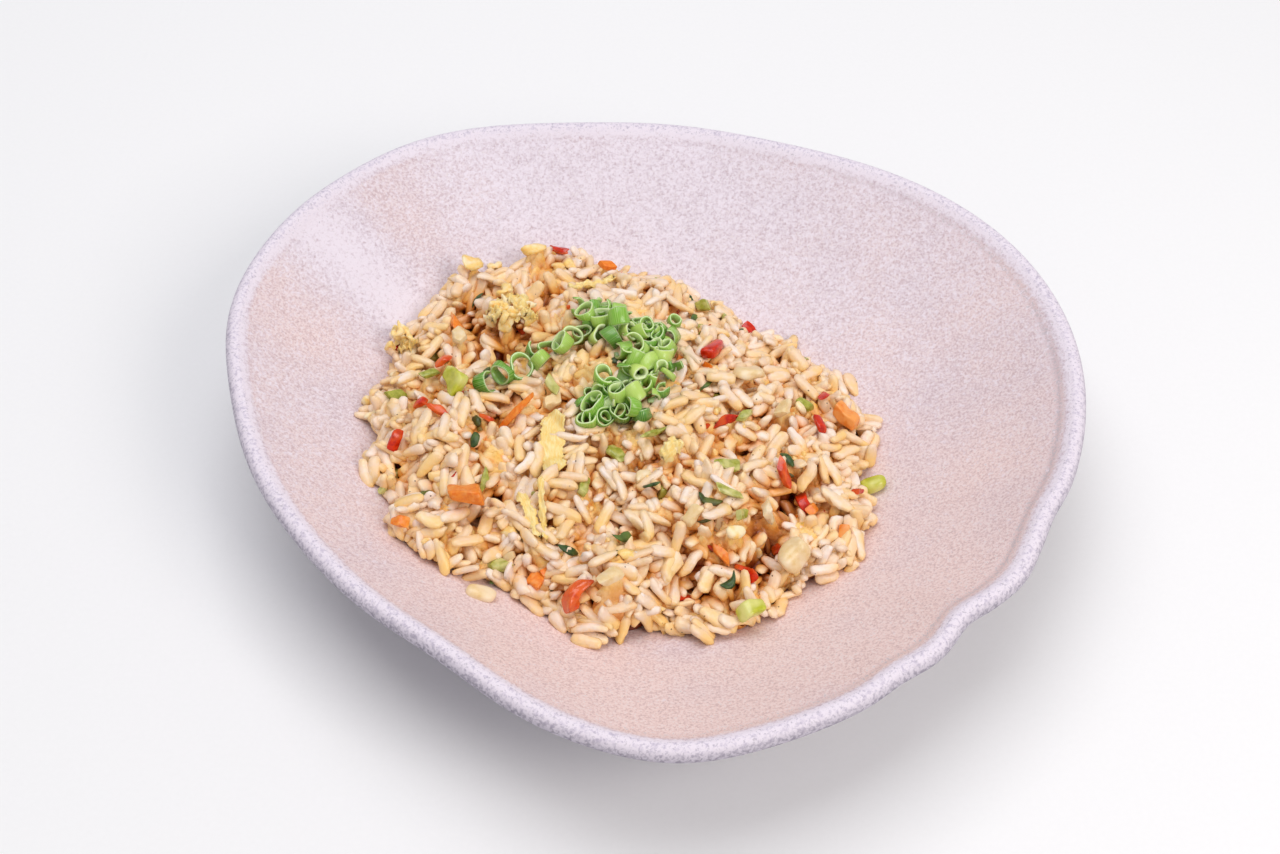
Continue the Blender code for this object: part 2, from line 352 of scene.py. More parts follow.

# %% [markdown]
# The dish's skin is one stack of rings: out over the eating side, round the lip, down the
# outside, round the foot ring and into the recess under the middle. Three numbers stay on
# each point for the glaze: how frosted it is, how much grey iron shows, and how far it lies
# under the dish, where the glaze is painted darker as painted shade. The frost gathers on
# the lip and on the far wall. Along the fold there is more frost, with less beside it: that
# is partly frost, and partly a painted highlight on the ridge with painted shade beside it.

# %% The dish's skin
ROUND_STEPS = 432
WAVER_MM = 0.18               # hand-pressed clay is this uneven, over a few centimetres
GROOVE_SHARE, GROOVE_WIDTH, GROOVE_DEPTH = 0.972, 0.007, 0.25 * MM
# More frost along the fold and less beside it: partly frost, partly a painted highlight on the
# fold's ridge and painted shade beside it.
FROST_AND_FOLD_LIGHT_STREAKS = (             # bearing, half-width, gain, and the share where it starts
    (FOLD_BEARING, 4, 0.34, 0.4), (133, 6, -0.26, 0.5), (162, 7, -0.20, 0.5),
)
LIP_SHARE = 0.983             # the lip's frost starts here


def waver(place):
    """Uneven pressing: three crossing sine waves, 30 to 60 mm long."""
    x, y = place[..., 0] / MM, place[..., 1] / MM
    return WAVER_MM * MM * (np.sin(x / 9 + 1.3 * np.sin(y / 14)) + np.sin(y / 8 - x / 21)
                            + 0.6 * np.sin((x + y) / 5.5)) / 2


def skin(share, angle, side):
    """Half a wall off the clay's middle, with the groove that the wiped lip leaves."""
    share = np.full_like(angle, share)
    place = clay(share, angle)
    normal = clay_frame(share, angle)[1]
    off = side * WALL / 2 + waver(place)
    if side > 0:
        wiped = 0.35 + 0.65 * bell(angle, -15, 55)
        off = off - GROOVE_DEPTH * wiped * np.exp(
            -((share - GROOVE_SHARE) / GROOVE_WIDTH) ** 2)
    return place + off[:, None] * normal


def frost(share, angle):
    """Share of white frost: a slow cosine that is highest at the back, streaks down the
    wall at the fold and beside it, a patch in front, and a rise at the lip."""
    amount = 0.44 + 0.30 * np.cos(angle - math.radians(105))
    for bearing, half_width, gain, start in FROST_AND_FOLD_LIGHT_STREAKS:
        amount = amount + gain * bell(angle, bearing, half_width) * np.clip(
            (share - start) * 3, 0, 1)
    amount = amount + 0.30 * bell(angle, 277, 11) * np.exp(-((share - 0.63) / 0.06) ** 2)
    return amount + 0.9 * np.clip((share - LIP_SHARE) / (1 - LIP_SHARE), 0, 1)


angle = np.arange(ROUND_STEPS) * 2 * np.pi / ROUND_STEPS
one = np.ones_like(angle)
rings, frosts, irons, unders = [], [], [], []


def lay_ring(points, frosted, iron, under):
    """Adds one ring of the dish's skin and its glaze values."""
    rings.append(points)
    frosts.append(frosted * one)
    irons.append(iron * one)
    unders.append(under * one)


for share in np.concatenate([np.linspace(0.02, 0.86, 44), np.linspace(0.872, 0.986, 19)]):
    iron = np.exp(-((share - GROOVE_SHARE) / 0.010) ** 2)
    iron = iron * (0.1 + 0.9 * bell(angle, -20, 42))
    lay_ring(skin(share, angle, 1), frost(share, angle), iron, 0)
lip_middle = clay(one, angle)
along, normal = clay_frame(one, angle)
for turn in np.radians(np.linspace(14, 166, 17)):
    out = np.cos(turn) * normal + np.sin(turn) * along
    under = np.clip((math.degrees(turn) - 62) / 80, 0, 1)
    lay_ring(lip_middle + LIP_RADIUS * out, 1.25, 0.35 + 0.4 * under, under)
for share in np.linspace(0.965, FOOT_OUTER + 0.018, 24):
    lay_ring(skin(share, angle, -1), 0.75, 0.35, 1)
for share, height in ((FOOT_OUTER + 0.012, 2.2 * MM), (FOOT_OUTER + 0.008, FOOT_CHAMFER),
                      (FOOT_OUTER + 0.004, 0.25 * MM), (FOOT_OUTER, 0), (FOOT_INNER, 0),
                      (FOOT_INNER - 0.004, 0.25 * MM), (FOOT_INNER - 0.008, FOOT_CHAMFER)):
    ring = clay(one * share, angle)
    ring[:, 2] = height
    lay_ring(ring, 0.0, 0.2, 1)
for share in (FOOT_INNER - 0.015, 0.36, 0.30, 0.24, 0.18, 0.12, 0.06):
    lay_ring(skin(share, angle, -1), 0.0, 0.3, 1)

rings = np.array(rings)
ends = np.array([rings[0].mean(0), rings[-1].mean(0)])
dish = put_mesh("stoneware_dish", np.vstack([rings.reshape(-1, 3), ends]),
                *turned(*ring_faces(len(rings), ROUND_STEPS)),
                {"frost": np.append(np.ravel(frosts), [0.4, 0]),
                 "iron": np.append(np.ravel(irons), [0.1, 0.3]),
                 "under": np.append(np.ravel(unders), [0, 1])})
print("dish skin:", len(rings), "rings of", ROUND_STEPS)

# %% [markdown]
# ## The glaze
#
# Reactive stoneware glaze: a pink-beige glassy layer in which a white layer has broken into
# crystals, with grey iron showing where it was wiped thin. It is satin, not shiny. Where the
# white is thick the pink turns lilac-grey and the crystals are a millimetre wide; where it
# is thin only a fine grain is left. So one noise is cut at a level set by the frost value,
# and a finer one gives the grain all over. The lip is mottled with grey-lilac. The underside
# is painted a darker, mottled grey-lilac: that is painted shade.

# %% Speckled satin glaze
def number_of(tree, name):
    """The value of one of the numbers kept on the mesh."""
    return add(tree, "Attribute", {"attribute_name": name}).outputs["Fac"]


def plus(tree, first, second, scale=1.0):
    """first + second * scale; each is a value or a socket."""
    return add(tree, "Math", {"operation": "MULTIPLY_ADD"}, i0=second, i1=scale,
               i2=first).outputs[0]


def satin_stoneware_glaze():
    """Pink base, white crystals and grey iron specks under a satin surface.

    The real grain is about 0.3 mm. It is drawn at 0.8 mm, as coarse as it needs to show.
    """
    material, tree, shader, place = start_material("satin_stoneware_glaze")
    frosted = number_of(tree, "frost")
    drift = noise(tree, place, 26.0, 2.0, 0.5)
    cloud = noise(tree, place, 5.0, 3.0, 0.6)
    crystal = noise(tree, place, 1.15, 1.0, 0.5, 0.6)
    fine = noise(tree, place, 0.8, 2.0, 0.7)
    base = mix(tree, spread(tree, plus(tree, frosted, drift, 0.5), 0.40, 0.95), "EBCFC9",
               "D2C4CE")
    base = mix(tree, spread(tree, fine, 0.50, 0.30, 0.0, 0.6), base, "B79A9C")
    base = mix(tree, spread(tree, fine, 0.50, 0.70, 0.0, 0.7), base, "FBF0EE")
    level = plus(tree, plus(tree, frosted, cloud, 0.45), crystal, 1.5)
    white = spread(tree, level, 1.38, 1.92, 0.0, 0.85)
    glaze = mix(tree, white, base, "EFE6EF")
    iron = spread(tree, plus(tree, fine, number_of(tree, "iron"), 0.22), 0.62, 0.76, 0.0, 0.5)
    glaze = mix(tree, iron, glaze, "918A94")
    on_lip = spread(tree, frosted, 1.0, 1.25)
    mottle = spread(tree, plus(tree, crystal, fine, 0.5), 0.72, 1.0, 0.0, 0.7)
    glaze = mix(tree, plus(tree, 0.0, mottle, on_lip), glaze, "BDB3C6")
    # Painted shade: under the dish the glaze is painted a darker, mottled grey-lilac.
    under_shade_glaze = mix(tree, spread(tree, crystal, 0.42, 0.62), "C0B8C6", "7F7888")
    glaze = mix(tree, spread(tree, number_of(tree, "under"), 0.0, 0.8, 0.0, 0.8), glaze,
                under_shade_glaze)
    tree.links.new(glaze, shader.inputs["Base Color"])
    tree.links.new(spread(tree, white, 0, 1, 0.50, 0.62), shader.inputs["Roughness"])
    shader.inputs["IOR"].default_value = 1.5
    bump(tree, shader, plus(tree, crystal, cloud, 1.2), 0.06, 0.5)
    return material


dress(dish, satin_stoneware_glaze(), "stoneware_glaze", "dish")

# %% [markdown]
# ## Reading the heap's shape
#
# The grains have to fill the solid heap of the part, so its height is read from the part
# itself: rays fall on the heap, the dish and the undersides of the toppings from a grid of
# plan points, one millimetre apart. Between grid points the heights are blended.

# %% Height fields
CELL = 1.0 * MM
GRID_LOW = np.array(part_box("dish")[0])[:2] - 2 * CELL
GRID_SIZE = np.ceil((np.array(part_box("dish")[1])[:2] - GRID_LOW) / CELL).astype(int) + 3


def tree_of(*names):
    """A ray-casting tree of some of the part's solids."""
    points, faces = [], []
    for name in names:
        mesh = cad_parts[name].data
        mesh.calc_loop_triangles()
        start = len(points)
        points += [vertex.co.copy() for vertex in mesh.vertices]
        faces += [[start + corner for corner in tri.vertices] for tri in mesh.loop_triangles]
    return BVHTree.FromPolygons(points, faces)


def height_field(tree, start, down, missing):
    """Height of the first hit over each grid point, or the missing value."""
    way = Vector((0, 0, -1 if down else 1))
    field = np.full(GRID_SIZE, missing)
    for column in range(GRID_SIZE[0]):
        for row in range(GRID_SIZE[1]):
            x, y = GRID_LOW[0] + column * CELL, GRID_LOW[1] + row * CELL
            hit = tree.ray_cast(Vector((x, y, start)), way)[0]
            if hit:
                field[column, row] = hit.z
    return field


def height_at(field, x, y):
    """Heights over any plan points, blended from the four grid points around each."""
    across = np.clip((x - GRID_LOW[0]) / CELL, 0, GRID_SIZE[0] - 1.001)
    forward = np.clip((y - GRID_LOW[1]) / CELL, 0, GRID_SIZE[1] - 1.001)
    i, j = across.astype(int), forward.astype(int)
    a, b = across - i, forward - j
    return ((1 - a) * (1 - b) * field[i, j] + a * (1 - b) * field[i + 1, j]
            + (1 - a) * b * field[i, j + 1] + a * b * field[i + 1, j + 1])


HIGH = 1.0                    # above everything, in metres
OFF_DISH = 0.2                # beside the dish the floor counts as a wall this high
NOT_A_LID = ("dish", "rice_heap", "loose_bean", "loose_rice_flake")
floor_field = height_field(tree_of("dish"), HIGH, True, OFF_DISH)
heap_field = height_field(tree_of("rice_heap"), HIGH, True, -HIGH)
in_heap = heap_field > 0
heap_field = np.where(in_heap, heap_field, floor_field)
lid_field = height_field(tree_of(*[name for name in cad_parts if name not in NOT_A_LID]),
                         0.0, False, HIGH)
print("heap covers", int(in_heap.sum()), "square mm and rises to",
      round(float(heap_field[in_heap].max()) / MM, 1), "mm")

# %% [markdown]
# ## How the grains lie
#
# Rice tipped from a spoon has no order: each grain rests on its neighbours at its own
# angle. Random placing would push grains through each other, and a rigid-body simulation
# of thousands takes long. Position-based packing sits between. Each piece is a row of four
# balls; balls that overlap push each other apart by half the overlap, again and again, while
# everything sinks a little, until the pile is tight.

# %% Pairs of near balls
HALF_CUBE = [(i, j, k) for i in (-1, 0, 1) for j in (-1, 0, 1) for k in (-1, 0, 1)
             if (i, j, k) >= (0, 0, 0)]


def close_pairs(places, reach):
    """Index pairs of points nearer than reach.

    Points are sorted into cubes of that size. Each cube is compared with itself and with
    the half of its neighbours that comes later, so that each pair is found once.
    """
    cube = np.floor(places / reach).astype(np.int64)
    cube -= cube.min(0) - 1
    size = cube.max(0) + 2
    key = (cube[:, 0] * size[1] + cube[:, 1]) * size[2] + cube[:, 2]
    order = np.argsort(key, kind="stable")
    key = key[order]
    count = np.arange(len(key))
    found = []
    for i, j, k in HALF_CUBE:
        shift = (i * size[1] + j) * size[2] + k
        start = np.searchsorted(key, key + shift, "left") if shift else count + 1
        number = np.searchsorted(key, key + shift, "right") - start
        first = np.repeat(count, number)
        within = np.arange(number.sum()) - np.repeat(np.cumsum(number) - number, number)
        found.append(np.stack([order[first], order[np.repeat(start, number) + within]]))
    first, second = np.concatenate(found, 1)
    near = ((places[first] - places[second]) ** 2).sum(1) < reach ** 2
    return first[near], second[near]


# %% [markdown]
# The heap's outline is needed too, as a radius for each bearing round its middle, so that
# the grains can be kept in. Each piece gets its own small allowance at the edge and at the
# top: that is what makes a heap ragged instead of moulded.

# %% The heap's outline
grid_x = GRID_LOW[0] + np.arange(GRID_SIZE[0]) * CELL
grid_y = GRID_LOW[1] + np.arange(GRID_SIZE[1]) * CELL
inside_x, inside_y = np.nonzero(in_heap)
HEAP_MIDDLE = np.array([grid_x[inside_x].mean(), grid_y[inside_y].mean()])
outline_bearings = np.radians(np.arange(-180, 180, 1.0))
outline_steps = np.arange(20, 115, 0.5) * MM
ray_x = HEAP_MIDDLE[0] + outline_steps * np.cos(outline_bearings)[:, None]
ray_y = HEAP_MIDDLE[1] + outline_steps * np.sin(outline_bearings)[:, None]
ray_in = height_at(in_heap.astype(float), ray_x, ray_y) > 0.5
outline_radii = outline_steps[ray_in.shape[1] - 1 - np.argmax(ray_in[:, ::-1], axis=1)]


def outline_at(x, y):
    """Radius of the heap's outline on the bearing of any plan point."""
    bearing = np.arctan2(y - HEAP_MIDDLE[1], x - HEAP_MIDDLE[0])
    return np.interp(bearing, outline_bearings, outline_radii, period=2 * np.pi)


print("outline radius in mm:", np.round(outline_radii.min() / MM), "to",
      np.round(outline_radii.max() / MM))

# %% [markdown]
# A portion that was tipped out and pushed about has mounds and hollows a spoon-tip wide.
# They are added to the smooth heights of the part as round bumps, each a bell curve. Fried
# rice also holds together in clumps of a dozen grains. A honeycomb of low domes, its cells
# moved a little at random, gives them a place to gather.

# %% Mounds and hollows
MOUNDS = (                    # x, y, rise and reach, all in mm
    (-68, -46, 3.0, 7), (-20, -51, 3.0, 8), (-14, -67, 2.5, 7), (-4, -55, 3.5, 8),
    (19, -33, 2.5, 9), (-57, 63, 3.0, 7), (-35, 70, 3.0, 7), (-82, 43, 2.0, 6),
    (-18, 15.5, 4.0, 5), (17, 15, 2.0, 10), (43, -45, 2.0, 8), (3, -9, 1.5, 12),
    (18, -69, 2.0, 6), (-62, -6, 2.0, 9), (60, 20, 2.0, 8), (-8, 50, 2.0, 10),
    (-49, -52, -4.5, 9), (-45, -30, -3.5, 7), (-30, -58, -3.5, 5), (-16, -44, -4.5, 7),
    (7, -51, -6.0, 6), (14, -61, -4.0, 5), (35, -49, -4.5, 6), (-47, 66, -1.5, 6),
    (-74, 41, -1.0, 6), (-46, 23, -1.0, 6), (45, -34, -2.5, 6), (5, -66, -3.0, 5),
    (-75, -22, -3.0, 6), (36, 30, -2.0, 7), (-12, -30, -2.0, 6),
)
MOUND_GAIN = 1.4              # the packing levels mounds a little, so they start higher
CLUMP_STEP = 13.0             # sticky clumps sit about this far apart, in mm
CLUMP_REACH = 5.2             # and each is a bell curve this wide, in mm
CLUMP_RISE = 8.0 * MM
CLUMP_TOP, CLUMP_LEVEL = 0.86, 0.66       # cut flat here; this share is the heap's own height
clump_rng = np.random.default_rng(5)
clump_i, clump_j = np.meshgrid(np.arange(-8, 8), np.arange(-7, 8), indexing="ij")
CLUMPS = (np.stack([clump_i + 0.5 * (clump_j % 2), 0.87 * clump_j], -1).reshape(-1, 2)
          + clump_rng.uniform(-0.34, 0.34, (clump_i.size, 2))) * CLUMP_STEP


def relief(x, y):
    """Mounds and clumps over plan points.

    A mound adds its rise times exp of minus half its distance squared. Of the clumps, only
    the highest counts, so they are rounded and meet in narrow creases.
    """
    total = np.zeros(np.shape(x))
    for at_x, at_y, rise, reach in MOUNDS:
        square = ((x / MM - at_x) ** 2 + (y / MM - at_y) ** 2) / reach ** 2
        total = total + MOUND_GAIN * rise * MM * np.exp(-0.5 * square)
    clump = np.zeros(np.shape(x))
    for at_x, at_y in CLUMPS:
        square = ((x / MM - at_x) ** 2 + (y / MM - at_y) ** 2) / CLUMP_REACH ** 2
        clump = np.maximum(clump, np.exp(-0.5 * square))
    return total + CLUMP_RISE * (np.minimum(clump, CLUMP_TOP) - CLUMP_LEVEL)


# %% [markdown]
# ## What is in the heap
#
# A stock list names everything by kind, with real sizes in millimetres. Cooked long-grain
# rice swells to 9 or 10 mm long and 2 to 4 mm across; the vegetables were chopped to 3 to
# 6 mm. The bits that show are listed one by one; the rest are strewn through the whole heap.

# %% Stock list
rng = np.random.default_rng(86)
SHELL_DEPTH = 9.0 * MM        # loose pieces this deep over the core
KINDS = ("rice", "red_pepper", "carrot", "green_stalk", "herb", "egg_crumb", "onion_dice")
KIND, X, Y, DEPTH, YAW, TILT, LENGTH, WIDTH, THICKNESS, EASE = range(10)     # its columns
LEAN, LAID_LEAN = 36, 14      # spread of a piece's tilt, in degrees
LAID_EASE = 0.15              # a listed bit gives way this much, a strewn one by 1
rows = []


def random_ways(count):
    """Random level directions from the heap's middle, and the outline's radius on each."""
    turn = rng.uniform(0, 2 * np.pi, count)
    away = np.stack([np.cos(turn), np.sin(turn)], -1)
    return away, outline_at(*(HEAP_MIDDLE + 0.05 * away).T)


def strew(kind, count, length, width, thickness, deepest):
    """Adds count random pieces of one kind, spread evenly over the heap's plan and down to
    the deepest level; sizes are (mean, spread) in millimetres."""
    away, reach = random_ways(count)
    out = reach * np.sqrt(rng.uniform(0, 1, count)) - 0.5 * MM
    block = np.ones((count, EASE + 1))
    block[:, KIND] = KINDS.index(kind)
    block[:, [X, Y]] = HEAP_MIDDLE + out[:, None] * away
    block[:, DEPTH] = rng.uniform(0, deepest, count) * MM
    block[:, YAW] = rng.uniform(0, 2 * np.pi, count)
    block[:, TILT] = np.radians(rng.normal(0, LEAN, count))
    for column, (mean, spread_by) in ((LENGTH, length), (WIDTH, width), (THICKNESS, thickness)):
        block[:, column] = (mean + spread_by * np.clip(rng.normal(0, 1, count), -2, 2)) * MM
    rows.append(block)


def lay(kind, *pieces):
    """Adds listed bits: x, y, length, width, thickness in mm, and turn in degrees."""
    block = np.zeros((len(pieces), EASE + 1))
    x, y, length, width, thickness, turn = np.array(pieces, float).T
    block[:, KIND] = KINDS.index(kind)
    for column, value in ((X, x), (Y, y), (LENGTH, length), (WIDTH, width),
                          (THICKNESS, thickness)):
        block[:, column] = value * MM
    block[:, YAW] = np.radians(turn)
    block[:, TILT] = np.radians(rng.normal(0, LAID_LEAN, len(pieces)))
    block[:, EASE] = LAID_EASE
    rows.append(block)


lay("red_pepper", (36, 52, 5, 3.4, 1.8, 20), (23, -3, 5, 3, 1.8, 150), (39, -22, 7, 3, 2, 120),
    (45, -27, 5, 3.4, 2, 100), (26, -51, 6, 3, 1.8, 10), (28, -54, 4.5, 3.6, 2, 60),
    (51, -1, 6, 2.6, 1.6, 110), (-76, -10, 5, 3.4, 2.0, 75), (10, -58, 6.5, 2, 1.6, 30),
    (-64, 21, 4.5, 3, 1.8, 40), (-64, -2, 5, 2.6, 1.6, 170), (-49, -4, 5.5, 3, 1.6, 160),
    (54, 14, 4, 2.6, 1.6, 50), (-8, 64, 5, 2.4, 1.6, 160), (-30, 72, 4, 2.4, 1.5, 30),
    (61, -22, 4.5, 2.6, 1.6, 80), (-70, 4, 4, 2.6, 1.6, 20))
lay("carrot", (-62, 40, 5.5, 4.5, 2.4, 70), (-32, -53, 6, 4.4, 2.6, 10),
    (-40, -2, 11, 2, 1.7, 38), (57, -37, 4.5, 3.4, 2.2, 70), (-73, -43, 4, 3, 2, 100),
    (47, -30, 4, 3, 2, 40), (20, -48, 6, 2.6, 2, -20), (-14, 66, 4.5, 3, 2, 10))
lay("green_stalk", (-78, 10, 6, 4, 2, 40), (-49, -25, 6, 2.6, 1.8, 75),
    (-44, -51, 6, 4.4, 2.4, -20), (-20, -27, 6.5, 3, 2, 80), (-10, -16, 5.5, 4, 2.4, -30),
    (1, -11, 5, 3, 2, 20), (17, 52, 5, 3.6, 2, 20), (28, -3, 4.5, 2.6, 1.8, 60),
    (23, -31, 7, 2.4, 1.6, -10), (26, -38, 5, 3, 2, 50), (22, -20, 6, 4, 2.2, 10),
    (47, 8, 5, 3, 1.8, 130), (-68, 16, 6, 2.6, 1.6, 30), (-30, 8, 6, 3, 2, -40))
lay("herb", (-55, 49, 6, 3.4, 0.9, 30), (0, -29, 6, 3.6, 0.9, -10), (-8, -45, 5, 4, 0.9, 60),
    (-24, -49, 6, 3, 0.9, 10), (22, -58, 5, 3, 0.9, 30), (-52, -14, 5, 3, 0.9, 80),
    (40, -15, 6, 2.4, 0.8, 110), (-66, -30, 5, 3, 0.8, 0), (12, 58, 5, 3, 0.9, 20))
lay("onion_dice", (-30, 4, 6, 4, 2.6, 20), (-12, -62, 7, 4.6, 3, 30), (40, 2, 6, 4.4, 2.4, 70),
    (-60, 30, 6, 4, 2.4, 110), (12, -40, 6, 4, 2.6, 60), (34, -36, 6.5, 4.4, 2.6, 130))
lay("egg_crumb", (-58, 63, 8, 6, 3, 40), (-38, 70, 7, 5, 3, 0), (5, -18, 6, 4, 2.4, 30),
    (-46, 50, 6, 4, 2.4, 70), (24, -44, 6, 4, 2.4, 10), (46, 6, 5, 3.4, 2, 30),
    (-47, 40, 7, 5, 3, 20), (-41, 43, 6, 4.5, 3, 80), (-38, 36, 6, 4, 2.6, 140),
    (-45, 33, 6, 4, 2.6, 60), (-50, 36, 5, 4, 2.6, 0), (-79, 38, 6, 4.5, 3, 30),
    (-76, 32, 6, 4, 2.6, 100))
strew("rice", 1800, (9.6, 1.2), (3.55, 0.4), (2.3, 0.2), 9)
strew("rice", 220, (6.4, 1.0), (3.4, 0.3), (2.4, 0.2), 9)
strew("rice", 110, (4.0, 1.0), (2.6, 0.4), (1.9, 0.3), 3)
strew("red_pepper", 26, (4.2, 0.9), (2.4, 0.5), (1.4, 0.2), 4)
strew("carrot", 22, (3.8, 0.8), (2.8, 0.5), (1.9, 0.3), 4)
strew("green_stalk", 30, (4.2, 1.0), (2.5, 0.6), (1.6, 0.3), 4)
strew("herb", 30, (4.6, 1.0), (2.6, 0.6), (0.8, 0.1), 3)
strew("egg_crumb", 46, (4.2, 1.0), (3.2, 0.6), (2.2, 0.3), 4)
strew("onion_dice", 24, (4.6, 0.8), (3.4, 0.5), (2.2, 0.3), 4)

heap = np.concatenate(rows)
kind, depth, yaw, tilt, length, width, thickness, ease = heap[:, [
    KIND, DEPTH, YAW, TILT, LENGTH, WIDTH, THICKNESS, EASE]].T
middle_xy = heap[:, [X, Y]]
laid = ease < 1
print(len(heap), "pieces in the heap:",
      {name: int((kind == number).sum()) for number, name in enumerate(KINDS)})

# %% [markdown]
# The packing loop. Where grains stick together they lie side by side, so the first turn of
# each grain leans towards a slow swirl. The core, the dish and the undersides of the
# toppings are limits for every ball, and the outline and the top are limits with each
# piece's own allowance, so both come out ragged. Listed bits may not sink out of sight.
# After each round a piece is put back in one line: its middle is the mean of its four
# balls, and its axis is their weighted sum. Last, each grain is tipped a little more at
# random, because sticky grains stand up where the packing would lay them flat.

# %% Widened and blurred height fields
def widen_low(field, steps):
    """Each grid height becomes the lowest one within some steps, so lids reach out."""
    for _ in range(steps):
        for axis in (0, 1):
            field = np.minimum(field, np.minimum(np.roll(field, 1, axis),
                                                 np.roll(field, -1, axis)))
    return field


def smooth(field, rounds):
    """Blurs a height field a little: mean of each point and its four neighbours."""
    for _ in range(rounds):
        field = (4 * field + np.roll(field, 1, 0) + np.roll(field, -1, 0)
                 + np.roll(field, 1, 1) + np.roll(field, -1, 1)) / 8
    return field


over_x, over_y = np.meshgrid(grid_x, grid_y, indexing="ij")
top_field = np.where(in_heap, np.maximum(heap_field + relief(over_x, over_y),
                                         floor_field + 5 * MM), floor_field + 4 * MM)
lid_field = widen_low(np.where(in_heap, lid_field, HIGH), 1)
core_field = np.maximum(floor_field, smooth(top_field, 6) - SHELL_DEPTH)

# %% How each piece starts, and its own allowances
STUCK_SHARE = 0.45            # of the grains follow the swirl
LAID_ROOM, LAID_SINK = 0.9 * MM, 1.0 * MM      # how far a laid bit may stand out, and sink

top_room = (-0.3 + rng.exponential(0.9, len(heap)).clip(0, 3.5)) * MM
top_room[laid] = LAID_ROOM
edge_room = (rng.normal(-1.0, 2.0, len(heap)).clip(-5, 3)) * MM
least_height = np.where(laid, LAID_SINK, HIGH)

over = middle_xy / MM
swirl = 1.9 * np.sin(over[:, 0] / 11 + 1.0) + 2.3 * np.sin(over[:, 1] / 9 + over[:, 0] / 23)
stuck = (kind == 0) & (rng.uniform(0, 1, len(heap)) < STUCK_SHARE)
yaw = np.where(stuck, swirl + rng.normal(0, 0.3, len(heap)), yaw)
middle = np.empty((len(heap), 3))
middle[:, :2] = middle_xy
middle[:, 2] = height_at(top_field, *middle_xy.T) - depth * (height_at(
    top_field - core_field, *middle_xy.T) / SHELL_DEPTH).clip(0, 1)
axis = np.stack([np.cos(yaw) * np.cos(tilt), np.sin(yaw) * np.cos(tilt), np.sin(tilt)], -1)

# %% Pack the heap
ROUNDS, SETTLING = 240, 60    # nothing sinks any more in the last, settling rounds
BALLS = np.array([-1, -1 / 3, 1 / 3, 1])
SINK_STEP = 0.025 * MM
STICKY = 0.80                 # soft grains press into each other, down to this share
PAIR_REACH, PAIR_ROUNDS = 4.0 * MM, 6          # near pairs are found again this often
PUSH_GAIN, SOFT_GAIN = 1.25, 0.5               # shares of an overlap undone in one round

ball_radius = (width + thickness) / 4 * np.where(kind == 0, STICKY, 1)
half_span = np.maximum(length / 2 - ball_radius, 0.1 * MM)
owner = np.repeat(np.arange(len(heap)), len(BALLS))
radius_of = ball_radius[owner]
ease_of, top_of, edge_of = ease[owner], top_room[owner], edge_room[owner]
least_of = least_height[owner]

for turn in range(ROUNDS):
    balls = middle[:, None] + (half_span[:, None] * BALLS)[..., None] * axis[:, None]
    balls = balls.reshape(-1, 3)
    if turn % PAIR_ROUNDS == 0:
        first, second = close_pairs(balls, PAIR_REACH)
        other = owner[first] != owner[second]
        first, second = first[other], second[other]
    apart = balls[second] - balls[first]
    distance = np.linalg.norm(apart, axis=1) + 1e-9
    overlap = radius_of[first] + radius_of[second] - distance
    touch = overlap > 0
    i, j = first[touch], second[touch]
    push = apart[touch] * (overlap[touch] / distance[touch])[:, None]
    share_i = (ease_of[i] / (ease_of[i] + ease_of[j]))[:, None]
    times = np.bincount(i, minlength=len(balls)) + np.bincount(j, minlength=len(balls))
    move = np.stack([np.bincount(j, (push * (1 - share_i))[:, k], len(balls))
                     - np.bincount(i, (push * share_i)[:, k], len(balls))
                     for k in range(3)], -1)
    balls = balls + PUSH_GAIN * move / np.maximum(times, 1)[:, None]
    if turn < ROUNDS - SETTLING:
        balls[:, 2] -= SINK_STEP
    x, y = balls[:, 0], balls[:, 1]
    out = balls[:, :2] - HEAP_MIDDLE
    far = np.linalg.norm(out, axis=1)
    bearing = np.arctan2(out[:, 1], out[:, 0])
    ragged = 1.6 * np.sin(19 * bearing + 1.0) + 1.2 * np.sin(31 * bearing)
    limit = outline_at(x, y) - radius_of + edge_of + ragged * MM
    balls[:, :2] -= out * (np.maximum(far - limit, 0) / far)[:, None]
    top = height_at(top_field, x, y)
    lid = height_at(lid_field, x, y) + 0.2 * MM
    balls[:, 2] -= SOFT_GAIN * np.maximum(balls[:, 2] + radius_of - lid, 0)
    above = (balls[:, 2] + radius_of - top - top_of).reshape(-1, len(BALLS)).mean(1)
    balls[:, 2] -= SOFT_GAIN * np.maximum(above, 0)[owner]
    bottom = np.maximum(height_at(core_field, x, y), top - least_of) + radius_of
    balls[:, 2] = np.maximum(balls[:, 2], bottom)
    balls = balls.reshape(len(heap), len(BALLS), 3)
    middle = balls.mean(1)
    axis = unit((balls * BALLS[:, None]).sum(1))

STEEPER = 0.36                # spread of the last tipping, as a slope
steeper = (kind == 0) * rng.normal(0, STEEPER, len(heap)).clip(-0.8, 0.8)
axis = unit(axis + steeper[:, None] * np.array([0, 0, 1.0]))
print("mean overlap left:", np.round(overlap[touch].mean() / MM, 2), "mm at", len(i), "touches")

# %% [markdown]
# ## The pile's own top
#
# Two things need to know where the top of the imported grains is: the oil film, which is
# darker down in the gaps, and what is dropped on last. It is read back from the balls: each
# lifts the grid points under it to its own height. A short blur turns that into a cloth
# draped over the grains, for things to lie on. A long one gives a smooth sheet over the
# whole pile, and the depth of a gap is measured from that.

# %% The pile's own top
GAP_DROP = 2.5 * MM


